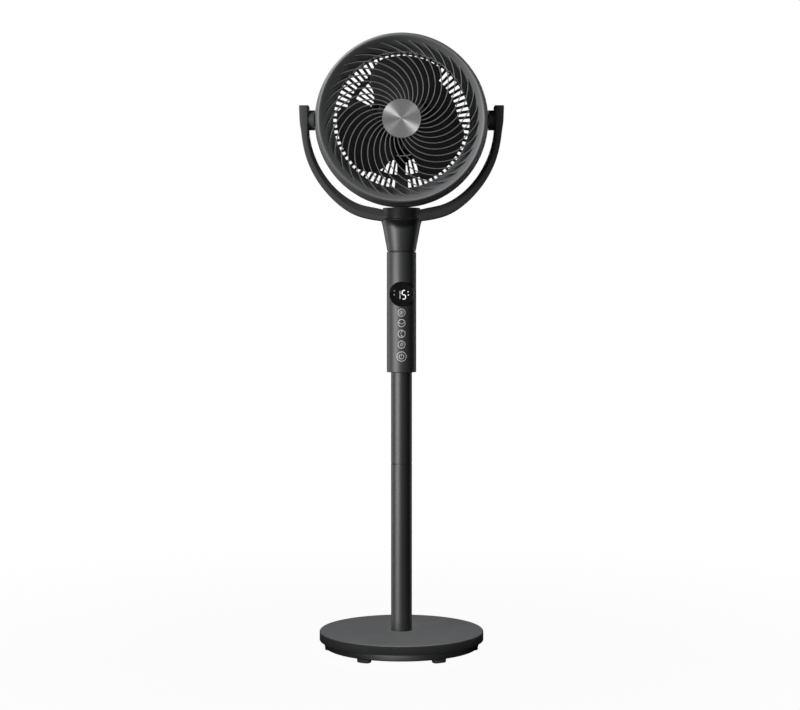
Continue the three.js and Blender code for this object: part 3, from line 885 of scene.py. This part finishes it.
for side, cut_front in (("front", False), ("rear", True)):
    shell = neck_wall(f"neck_{side}_fine")
    carved(shell, [half_space("cut_half", cut_front)], "yoke", f"neck_{side}_shell")

# --- yoke arms

YOKE_DEPTH = 18
# At each angle up from straight down: width of the front face, and distances from the pivot
YOKE_FACE = [(0, 8.1), (70, 8.1), (80, 8.8), (90, 12.6)]
YOKE_BEVEL = 6.5
YOKE_OUTER = [(0, 159.7), (14, 162.8), (28, 166.8), (46, 165.1), (64, 162.4), (82, 159.3), (90, 160.6)]
YOKE_INNER = [(0, 144), (16, 144.3), (28, 148.5), (40, 149.6), (58, 148.8), (80, 147.4), (90, 145.8)]
ARM_TOP = span_mm("right_yoke_arm")[1].z - PIVOT


ARM_CORNERS = (1.6, 0.9, 1.2, 1.2, 0.9, 1.6)
ARM_FOOT_ANGLE, ARM_STEPS = 7, 64
ARM_LEAN = 0.8
# How far each section near the top is from the pivot's height, and how much its edge is drawn in
ARM_TOP_ROWS = [
    (ARM_TOP * 0.5, 0), (ARM_TOP * 0.9, 0), (ARM_TOP - 1.6, 0), (ARM_TOP - 0.6, 0.25), (ARM_TOP - 0.15, 0.8),
    (ARM_TOP, 1.6),
]


def arm_ring(outer, inner, width):
    """One section of an arm. Its edges are rounded, the outer ones most."""
    face = outer + (inner - outer).normalized() * width
    corners = []
    for at, y in (
        (outer, -YOKE_DEPTH), (face, -YOKE_DEPTH), (inner, YOKE_BEVEL - YOKE_DEPTH),
        (inner, YOKE_DEPTH - YOKE_BEVEL), (face, YOKE_DEPTH), (outer, YOKE_DEPTH),
    ):
        corners.append(Vector((at.x, y, at.z)))
    ring = []
    for i, radius in enumerate(ARM_CORNERS):
        ring += corner_arc(corners[i - 1], corners[i], corners[(i + 1) % len(corners)], radius, 0.4, 4)
    return ring


def arm_shape(name, side):
    rings = []
    for k in range(ARM_STEPS + 1):
        from_down = ARM_FOOT_ANGLE + (90 - ARM_FOOT_ANGLE) * k / ARM_STEPS
        angle = math.radians(from_down)
        ray = Vector((math.sin(angle), 0, -math.cos(angle)))
        outer = ray * smooth_read(YOKE_OUTER, from_down)
        inner = ray * smooth_read(YOKE_INNER, from_down)
        rings.append(arm_ring(outer, inner, smooth_read(YOKE_FACE, from_down)))
    for z, pull in ARM_TOP_ROWS:
        outer = Vector((YOKE_OUTER[-1][1] + ARM_LEAN * z / ARM_TOP - pull, 0, z))
        inner = Vector((YOKE_INNER[-1][1] + pull, 0, z))
        rings.append(arm_ring(outer, inner, YOKE_FACE[-1][1]))
    rings = [[(p.x * side, p.y, p.z + PIVOT) for p in ring] for ring in rings]
    return loft(name, rings, PLASTIC)


BOSS_R = span_mm("right_pivot_boss")[1].z - PIVOT
BOSS_END = span_mm("right_pivot_boss")[1].x
BOSS_ROOT, BOSS_BORE = 128, 6.5
RECESS_FROM = 138
HEAD_WALL_R, HEAD_WALL_REACH = 137.9, 40


def arm(name, node, side):
    piece = arm_shape(name, side)
    clear = turn("neck_clear", [
        (0, NECK_LOW.z),
        (NECK_FOOT + GAP, NECK_LOW.z),
        (NECK_BEND_R + GAP, NECK_BEND_Z),
        (SHOULDER_R + GAP, SHOULDER_Z - GAP),
        (SHOULDER_R + GAP, SHOULDER_Z + 1 + GAP),
        (NECK_BLOCK + GAP, SHOULDER_Z + 4 + GAP),
        (NECK_BLOCK + GAP, NECK_CUT),
        (0, NECK_CUT),
    ], "z", PLASTIC, sides=192)
    recess_from, recess_to = sorted((RECESS_FROM * side, (BOSS_END + 2 * GAP) * side))
    recess = rod("recess", BOSS_R + GAP, recess_from, recess_to, "x", (0, 0, PIVOT))
    carved(piece, [clear, recess], "yoke", node, sharp=30)


arm("right_arm_fine", "right_yoke_arm", 1)
arm("left_arm_fine", "left_yoke_arm", -1)

# --- head shell

CENTRE = (0, 0, PIVOT)
SEAM_Y = -18
DUCT_FRONT_R = 107.3
DUCT_BACK_R = 111.4
DUCT_WALL = 2.2
HOUSING_BACK = 50
HOUSING_WALL = 2.4
HOUSING_OUTLINE = [
    (SEAM_Y, 135.0), (-8, 136.6), (2, 137.5), (10, 137.3), (17, 136.4), (24, 134.4), (31, 131.2),
    (37, 127.4), (43, 122.6), (47, 118.4), (HOUSING_BACK, 114.0),
]
HOUSING_STEPS = 40


def head_housing():
    """Outside from the seam to the back, round the lips of the duct, and back along the inside."""
    front = SEAM_Y + GAP / 2
    outside = []
    for k in range(HOUSING_STEPS + 1):
        y = front + (HOUSING_BACK - front) * k / HOUSING_STEPS
        outside.append((smooth_read(HOUSING_OUTLINE, y), y))
    inside = [(r - HOUSING_WALL, y - max(0.0, (y - 20) * 0.06)) for r, y in reversed(outside[:-4])]
    lip = [(DUCT_BACK_R + 1.2, HOUSING_BACK + 0.3), (DUCT_BACK_R, HOUSING_BACK - 0.2)]
    front_lip = [(DUCT_FRONT_R, -13.4), (DUCT_FRONT_R + 0.6, -14), (DUCT_FRONT_R + DUCT_WALL, -14)]
    duct = [*front_lip, (DUCT_BACK_R + DUCT_WALL, 46.6)]
    return outside + lip + duct + inside


turn("head_housing_fine", head_housing(), "y", PLASTIC, CENTRE, 256,
     body="head", slot="charcoal_plastic", replaces=["head_housing"])

for side, node in ((1, "right_pivot_boss"), (-1, "left_pivot_boss")):
    end, root = BOSS_END * side, BOSS_ROOT * side
    profile = [(BOSS_BORE, root), (BOSS_R, root), (BOSS_R, end - 0.1 * side), (BOSS_BORE, end)]
    boss = turn(node + "_fine", round_corners(profile, 0.5), "x", PLASTIC, CENTRE, 96)
    wall = rod("head_wall", HEAD_WALL_R, -HEAD_WALL_REACH, HEAD_WALL_REACH, "y", CENTRE, 256)
    carved(boss, [wall], "head", node)

# --- front grille

# The bezel's skin as (radius, y), over the front and back along the inside
BEZEL_FRONT = [
    (134.95, -18.15), (134.9, -22), (134.5, -28), (133.7, -34), (132.6, -39), (131.6, -42.2),
    (130.6, -44.2), (129.4, -45.0), (128.2, -44.7), (126.6, -43.2), (124.9, -41.0), (123.2, -38.5),
    (121.4, -35.8), (119.4, -32.8), (117.2, -29.7), (115.0, -26.6), (112.9, -23.6), (111.0, -20.6),
    (109.3, -17.5), (107.9, -14.5),
]
BEZEL_BACK = [(110.0, -14.5), (112.7, -19.0), (117.6, -25.6), (121.6, -31.4), (125.0, -36.4), (128.0, -40.4),
              (129.8, -40.6), (131.2, -36.0), (132.3, -28.0), (132.7, -18.15)]
RIBS = 34
RIB_START, RIB_END = 29.5, 123.4
RIB_TWIST, RIB_TWIST_SQUARE, RIB_PHASE = 0.603, 0.00177, -5.5
RIB_FACE, RIB_DEPTH = -36.4, 7.6
RIB_THICK = 1.35
RIB_NOSE = 0.55
RIB_TWIST_FROM = 31.5
RIB_STEPS = 40
RIB_AHEAD = 0.5


def rib_turn(r):
    """Direction of a rib at radius r, in radians."""
    out = r - RIB_TWIST_FROM
    return math.radians(RIB_PHASE + RIB_TWIST * out + RIB_TWIST_SQUARE * out * out)


def on_rib(r, around):
    angle = rib_turn(r) + around
    return Vector((r * math.cos(angle), r * math.sin(angle)))


def rib(name, index):
    """A thin fin with a rounded front edge that curves from the hub into the bezel."""
    half = RIB_THICK / 2
    section = [(-half, RIB_DEPTH)]
    for edge in range(180, -1, -30):
        across, up = math.cos(math.radians(edge)), math.sin(math.radians(edge))
        section.append((half * across, RIB_NOSE - RIB_NOSE * up))
    section += [(half, RIB_DEPTH), (half * 0.5, RIB_DEPTH + 0.3), (-half * 0.5, RIB_DEPTH + 0.3)]
    rings = []
    around = 2 * math.pi * index / RIBS
    for k in range(RIB_STEPS + 1):
        r = RIB_START + (RIB_END - RIB_START) * k / RIB_STEPS
        here = on_rib(r, around)
        run = (on_rib(r + RIB_AHEAD, around) - here).normalized()
        side = Vector((-run.y, run.x))
        rings.append([
            (here.x + side.x * across, RIB_FACE + depth, PIVOT + here.y + side.y * across)
            for across, depth in section
        ])
    return loft(name, rings, PLASTIC)


parts = [turn("bezel", BEZEL_FRONT + BEZEL_BACK, "y", PLASTIC, CENTRE, 256)]
parts += [rib(f"rib_{index}", index) for index in range(RIBS)]
parts.append(turn("grille_hub", round_corners([
    (0, -35.9), (28.8, -35.9), (29.4, -35.4), (29.5, -28.6), (27.8, -28.6), (27.8, -33.4), (0, -33.4),
], 0.4, closed=False), "y", PLASTIC, CENTRE, 128))
grille = join(parts, "front_grille_fine")
settle(grille, "head", ["front_grille"])
smooth(grille)

turn("hub_badge_fine", [
    (0, -37.35), (15, -37.34), (26, -37.31), (30.3, -37.28), (30.5, -37.1), (30.5, -36.45), (28.5, -36.45),
    (28.5, -36.0), (0, -36.0),
], "y", BADGE, CENTRE, 192, body="head", slot="badge_metal", replaces=["hub_badge"])

# --- rear grille

REAR_FRONT, REAR_BACK = (span_mm("rear_grille")[0].y, span_mm("rear_grille")[1].y)
REAR_RIM = DUCT_BACK_R + DUCT_WALL - GAP
REAR_HOLE = span_mm("rear_motor_cover")[1].x + GAP
# Rows of slots: number in a full circle, inner and outer radius, width of a bar, goes all the way round
REAR_ROWS = [(72, 91.0, 110.2, 4.4, True), (60, 55.6, 83.0, 3.4, False)]
REAR_CLOSED = [(-14, 62), (151, 188)]  # directions between which the inner row has no slots
STRUT_WIDTH = 14
STRUT_ROOT = 60.5  # near the strut the inner row starts farther out
ROOT_SPREAD = 0.6
SLOT_LEAST = 1.2
SLOT_CORNER = 0.8
GRILLE_BEVEL = 0.5


def slot_outline(r_in, r_out, middle, half_pitch, bar):
    """A slot between two bars, cut back where it meets the wide strut; nothing when too little is left."""
    from_down = (middle + 1.5 * math.pi) % (2 * math.pi) - math.pi
    side = math.copysign(1, from_down)
    if abs(from_down) < ROOT_SPREAD:
        r_in = max(r_in, STRUT_ROOT)

    def edges(r):
        half = half_pitch - bar / 2 / r
        strut = math.asin(STRUT_WIDTH / 2 / r)
        return [side * max(strut, abs(from_down) - half), side * max(strut, abs(from_down) + half)]

    while r_in < r_out and abs(edges(r_in)[1] - edges(r_in)[0]) * r_in < SLOT_LEAST:
        r_in += 1
    if r_out - r_in < SLOT_LEAST:
        return None
    near, far = sorted(edges(r_in)), sorted(edges(r_out))
    corners = []
    for r, turned in ((r_in, near[0]), (r_in, near[1]), (r_out, far[1]), (r_out, far[0])):
        corners.append((r * math.sin(turned), -r * math.cos(turned)))
    return round_corners(corners, SLOT_CORNER, steps=3)


def rear_grille():
    curve = bpy.data.curves.new("rear_grille_curve", "CURVE")
    curve.dimensions = "2D"
    curve.fill_mode = "BOTH"
    curve.extrude = (REAR_BACK - REAR_FRONT) / 2 * MM - GRILLE_BEVEL * MM
    curve.bevel_depth = GRILLE_BEVEL * MM
    curve.bevel_resolution = 2
    curve.offset = -GRILLE_BEVEL * MM
    outlines = [circle(REAR_RIM, 256), circle(REAR_HOLE, 192)[::-1]]
    for count, r_in, r_out, width, full in REAR_ROWS:
        pitch = 2 * math.pi / count
        for k in range(count):
            middle = pitch * (k + 0.5) if full else pitch * k
            degrees = (math.degrees(middle) - REAR_CLOSED[0][0]) % 360 + REAR_CLOSED[0][0]
            if not full and any(low < degrees < high for low, high in REAR_CLOSED):
                continue
            outline = slot_outline(r_in, r_out, middle, pitch / 2, width)
            if outline:
                outlines.append(outline[::-1])
    for outline in outlines:
        spline = curve.splines.new("POLY")
        spline.points.add(len(outline) - 1)
        for point, (x, z) in zip(spline.points, outline):
            point.co = (x * MM, z * MM, 0, 1)
        spline.use_cyclic_u = True
    flat = bpy.data.objects.new("rear_grille_flat", curve)
    bpy.context.scene.collection.objects.link(flat)
    bpy.context.view_layer.update()
    mesh = bpy.data.meshes.new_from_object(flat.evaluated_get(bpy.context.evaluated_depsgraph_get()))
    bpy.data.objects.remove(flat)
    points = []
    middle_y = (REAR_FRONT + REAR_BACK) / 2
    for vertex in mesh.vertices:
        x, z, y = vertex.co / MM
        points.append((x, middle_y - y, PIVOT + z))
    faces = [list(face.vertices) for face in mesh.polygons]
    return make_piece("rear_grille_fine", points, faces, PLASTIC, "head", "charcoal_plastic", ["rear_grille"])


rear_grille()

COVER_R = REAR_HOLE - GAP
turn("rear_motor_cover_fine", round_corners([
    (COVER_R, 34), (COVER_R, 54), (COVER_R - 1.6, 58.2), (COVER_R - 7, 61.6), (COVER_R - 15, 63.4), (30, 64),
    (12, 64), (11, 63.2), (0.5, 63.2), (0.5, 61.4), (30, 61.6), (COVER_R - 16, 61), (COVER_R - 8.4, 59.2),
    (COVER_R - 4, 56.4), (COVER_R - 2.4, 53), (COVER_R - 2.4, 34),
], 1.2), "y", PLASTIC, CENTRE, 192, body="head", slot="charcoal_plastic", replaces=["rear_motor_cover"])

# --- impeller

BLADES = 3
BLADE_FIRST = 85
BLADE_Y = 7
BLADE_PITCH = 15
BLADE_CAMBER = 3
BLADE_THIN, BLADE_BODY = 0.35, 1.7
BLADE_ROWS, BLADE_COLUMNS = 32, 28
# Degrees a blade reaches either side of its middle line, at each radius
BLADE_AHEAD = [(28.6, 60), (45, 59), (54, 57), (62.5, 50.3), (75, 45.5), (88, 39), (97, 31), (102.5, 23)]
BLADE_BEHIND = [(28.6, 48), (45, 44), (54, 41), (62.5, 38), (75, 36.6), (88, 37), (97, 36), (102.5, 32)]


def blade(name, index):
    """A cambered blade, thickest in the middle."""
    rings = []
    root, tip = BLADE_AHEAD[0][0], BLADE_AHEAD[-1][0]
    around = math.radians(BLADE_FIRST + 360 / BLADES * index)
    for k in range(BLADE_ROWS + 1):
        r = root + (tip - root) * k / BLADE_ROWS
        ahead, behind = smooth_read(BLADE_AHEAD, r), smooth_read(BLADE_BEHIND, r)
        front_side, back_side = [], []
        for step in range(BLADE_COLUMNS + 1):
            across = 2 * step / BLADE_COLUMNS - 1
            from_middle = (ahead * (1 + across) - behind * (1 - across)) / 2
            angle = math.radians(from_middle) + around
            camber = BLADE_CAMBER * (1 - across * across)
            y = BLADE_Y + BLADE_PITCH * from_middle / BLADE_AHEAD[0][1] - camber
            thick = BLADE_THIN + BLADE_BODY * max(0.0, 1 - across ** 8) ** 0.5
            x, z = r * math.cos(angle), r * math.sin(angle)
            front_side.append((x, y - thick / 2, PIVOT + z))
            back_side.append((x, y + thick / 2, PIVOT + z))
        rings.append(front_side + back_side[::-1])
    count = len(rings[0])
    points = [p for ring in rings for p in ring]
    faces = sleeve_faces(len(rings), count)
    for start in (0, len(points) - count):
        for k in range(count // 2 - 1):
            faces.append([start + k, start + k + 1, start + count - 2 - k, start + count - 1 - k])
    return make_piece(name, points, faces, BLADE_PLASTIC)


impeller = [blade(f"blade_{index}", index) for index in range(BLADES)]
impeller.append(turn("blade_hub", round_corners([
    (4.3, -14), (20, -14), (27, -12), (30, -8), (30, 23), (27.5, 23), (27.5, -7), (25, -9.4), (9, -10.5),
    (9, 10), (4.3, 10),
], 1.0), "y", BLADE_PLASTIC, CENTRE, 96))
fan = join(impeller, "fan_blade_fine")
settle(fan, "impeller", ["fan_blade"])
smooth(fan)

# --- carried-over CAD nodes

CARRIED = {
    "base_weight": STEEL, "pole_socket": STEEL, "clamp_screw": STEEL, "pole_coupler": STEEL,
    "column_collar": DARK_PLASTIC, "display_module": CIRCUIT, "control_board": CIRCUIT,
    "swivel_motor": STEEL, "swivel_bearing": DARK_PLASTIC, "swivel_spindle": STEEL,
    "left_pivot_pin": STEEL, "tilt_motor": STEEL, "right_pivot_bush": BRASS, "left_pivot_bush": BRASS,
    "fan_motor": STEEL, "motor_shaft": STEEL, "blade_nut": DARK_PLASTIC,
}
CARRIED_SHARP = 35
CARRIED_BEVEL = 0.25
for node, material in CARRIED.items():
    carried = NODES[node]
    carried.data.materials.clear()
    carried.data.materials.append(material)
    smooth(carried, CARRIED_SHARP)
    bevel = carried.modifiers.new("bevel", "BEVEL")
    bevel.width = CARRIED_BEVEL * MM
    bevel.segments = 2
    bevel.limit_method = "ANGLE"
    bevel.angle_limit = math.radians(CARRIED_SHARP)
    bevel.use_clamp_overlap = True

# --- stage and light


FLOOR_SIDES, FLOOR_REACH = 64, 30000


def no_bounce(piece):
    piece.visible_glossy = False
    piece.visible_diffuse = False


def stage_floor():
    outline = circle(FLOOR_REACH, FLOOR_SIDES)
    points = [(x, y, 0) for x, y in outline]
    floor = make_piece("floor", points, [list(range(FLOOR_SIDES))], floor_material())
    no_bounce(floor)


def floor_material():
    """White paper that glows a little, so that it stays even to the horizon."""
    s = Shader("white_floor")
    paper = s.ramp(s.noise(6, 2), [(0.3, grey(0.78)), (0.7, grey(0.8))])
    s.feed("Base Color", paper)
    s.bsdf.inputs["Roughness"].default_value = 0.9
    s.bsdf.inputs["Specular IOR Level"].default_value = 0
    s.bsdf.inputs["Emission Color"].default_value = (1, 1, 1, 1)
    glow = s.span(s.vector("LENGTH", s.place), 0.965, 1.0, 0.3, 1.2)
    s.feed("Emission Strength", glow)
    return s.material


def softbox(name, place, aim, wide, high, power):
    data = bpy.data.lights.new(name, "AREA")
    data.shape = "RECTANGLE"
    data.size = wide
    data.size_y = high
    data.energy = power
    lamp = bpy.data.objects.new(name, data)
    lamp.location = place
    lamp.rotation_euler = (Vector(aim) - Vector(place)).to_track_quat("-Z", "Y").to_euler()
    lamp.visible_camera = False
    bpy.context.scene.collection.objects.link(lamp)
    return lamp


def light_groups():
    """Each visible mesh goes to the first group with a word that its name starts with."""
    groups = {name: bpy.data.collections.new("lit_" + name) for name in GROUP_WORDS}
    for piece in bpy.context.scene.objects:
        if piece.type != "MESH" or piece.name == "floor":
            continue
        name = next(name for name, words in GROUP_WORDS.items() if piece.name.startswith(words))
        groups[name].objects.link(piece)
    return groups


CARD_Y = -48
CARD_OUTLINE = [
    (-120, 680), (-84, 675), (-70, 672), (-55, 670.5), (-42, 669), (-20, 666.5), (-9, 668), (10, 671),
    (60, 674), (60, 716), (-120, 716),
]


def neck_flag():
    """A card in front of the neck that keeps its top in the shade, as the head does from above."""
    points = [(x, CARD_Y, z) for x, z in CARD_OUTLINE]
    flag = make_piece("neck_flag", points, [list(range(len(points)))], DARK_PLASTIC)
    flag.visible_camera = False
    no_bounce(flag)
    shade = bpy.data.collections.new("shade")
    shade.objects.link(flag)
    return shade


def make_world():
    world = bpy.data.worlds.new("white_room")
    world.use_nodes = True
    background = world.node_tree.nodes["Background"]
    background.inputs["Color"].default_value = (1, 1, 1, 1)
    background.inputs["Strength"].default_value = 1.0
    world.cycles_visibility.diffuse = False
    world.cycles_visibility.glossy = False
    world.cycles_visibility.transmission = False
    bpy.context.scene.world = world


make_world()
stage_floor()
GROUP_WORDS = {
    "badge": ("hub_badge",),
    "impeller": ("fan_blade", "fan_motor", "blade_nut", "motor_shaft", "rear_"),
    "head": ("head_", "front_grille"),
    "left_arm": ("left_arm", "left_pivot"),
    "right_arm": ("right_arm", "right_pivot"),
    "neck": ("neck_",),
    "base": ("base_cover",),
    "tray": ("base_", "foot_", "power_inlet", "clamp_screw", "pole_socket"),
    "stand": ("",),
}
HEAD_AT = (0, 0, PIVOT * MM)
STAND_AT = (0, 0, 0.4)
NECK_AT = (0, 0, 0.66)
BASE_AT = (0, 0, 0.03)
# For each group, where its lamps aim, then the place, width, height and power of each lamp and what
# throws shadows: every piece, the group itself or the card
LAMPS = {
    "head": (HEAD_AT, [
        ((-2.05, -1.2, 1.25), 1.2, 1.2, 136, "pieces"),
        ((1.3, -1.4, 2.0), 0.9, 0.9, 24, "pieces"),
        ((-1.3, 0.5, 1.8), 0.8, 0.8, 5, "pieces"),
        ((-0.6, -0.25, 2.35), 1.0, 0.6, 20, "pieces"),
        ((-0.8, 1.1, 2.0), 1.0, 1.0, 16, "pieces"),
        ((1.4, 0.5, 0.9), 0.5, 0.8, 3, "pieces"),
        ((0.2, -2.4, 0.2), 1.0, 0.6, 24, "pieces"),
    ]),
    "impeller": (HEAD_AT, [
        ((-1.9, -1.5, 0.9), 0.9, 0.9, 13, "own"),
        ((1.9, -1.5, 0.9), 0.9, 0.9, 7, "own"),
    ]),
    "badge": (HEAD_AT, [
        ((-1.5, -2.2, 2.2), 0.5, 0.5, 42, "own"),
        ((1.4, -2.2, 2.2), 0.5, 0.5, 10, "own"),
        ((0, -3.0, 0.9), 0.8, 0.8, 2.2, "own"),
    ]),
    "left_arm": (HEAD_AT, [
        ((-1.75, -1.6, 1.2), 0.9, 0.9, 60, "pieces"),
        ((0.3, -2.4, 0.3), 0.9, 0.9, 4, "pieces"),
    ]),
    "right_arm": (HEAD_AT, [
        ((-1.75, -1.6, 1.2), 0.9, 0.9, 30, "pieces"),
        ((-0.3, -2.4, 0.3), 0.9, 0.9, 3, "pieces"),
        ((1.4, -0.6, 1.3), 0.5, 0.8, 4, "pieces"),
    ]),
    "neck": (NECK_AT, [
        ((-1.6, -1.4, 0.2), 1.1, 0.4, 48, "card"),
        ((-1.3, -1.9, 1.9), 0.8, 0.8, 26, "own"),
        ((-1.5, 0.95, 0.4), 0.6, 0.7, 4.5, "own"),
        ((1.5, 1.1, 0.4), 0.6, 0.7, 2.2, "own"),
    ]),
    "stand": (STAND_AT, [
        ((-1.5, -1.5, 0.45), 1.5, 1.5, 66, "pieces"),
        ((-1.5, 0.95, 0.45), 0.7, 1.5, 7, "pieces"),
        ((1.5, 1.1, 0.45), 0.6, 1.5, 3, "pieces"),
        ((0.4, -2.0, 2.4), 0.8, 0.8, 4, "pieces"),
    ]),
    "base": (BASE_AT, [
        ((-0.1, -0.35, 1.4), 1.2, 1.2, 43, "own"),
        ((-1.5, -1.6, 0.3), 0.6, 0.4, 3, "own"),
    ]),
    "tray": (BASE_AT, [
        ((-0.5, -2.0, 0.2), 1.2, 0.3, 38, "own"),
    ]),
    "not_base": (STAND_AT, [
        ((0.1, 3.0, 1.3), 1.6, 1.6, 40, "pieces"),
    ]),
}

groups = light_groups()
groups["not_base"] = bpy.data.collections.new("lit_not_base")
every_piece = bpy.data.collections.new("every_piece")
for name in GROUP_WORDS:
    every_piece.children.link(groups[name])
    if name != "base":
        groups["not_base"].children.link(groups[name])
card = neck_flag()
lamp_count = 0
for group, (aim, lamps) in LAMPS.items():
    casters = {"pieces": every_piece, "own": groups[group], "card": card}
    for place, wide, high, power, shadows in lamps:
        lamp = softbox(f"{group}_lamp_{lamp_count}", place, aim, wide, high, power)
        lamp.light_linking.receiver_collection = groups[group]
        lamp.light_linking.blocker_collection = casters[shadows]
        lamp_count += 1

bpy.context.scene.view_settings.view_transform = "Standard"
bpy.context.scene.view_settings.look = "None"
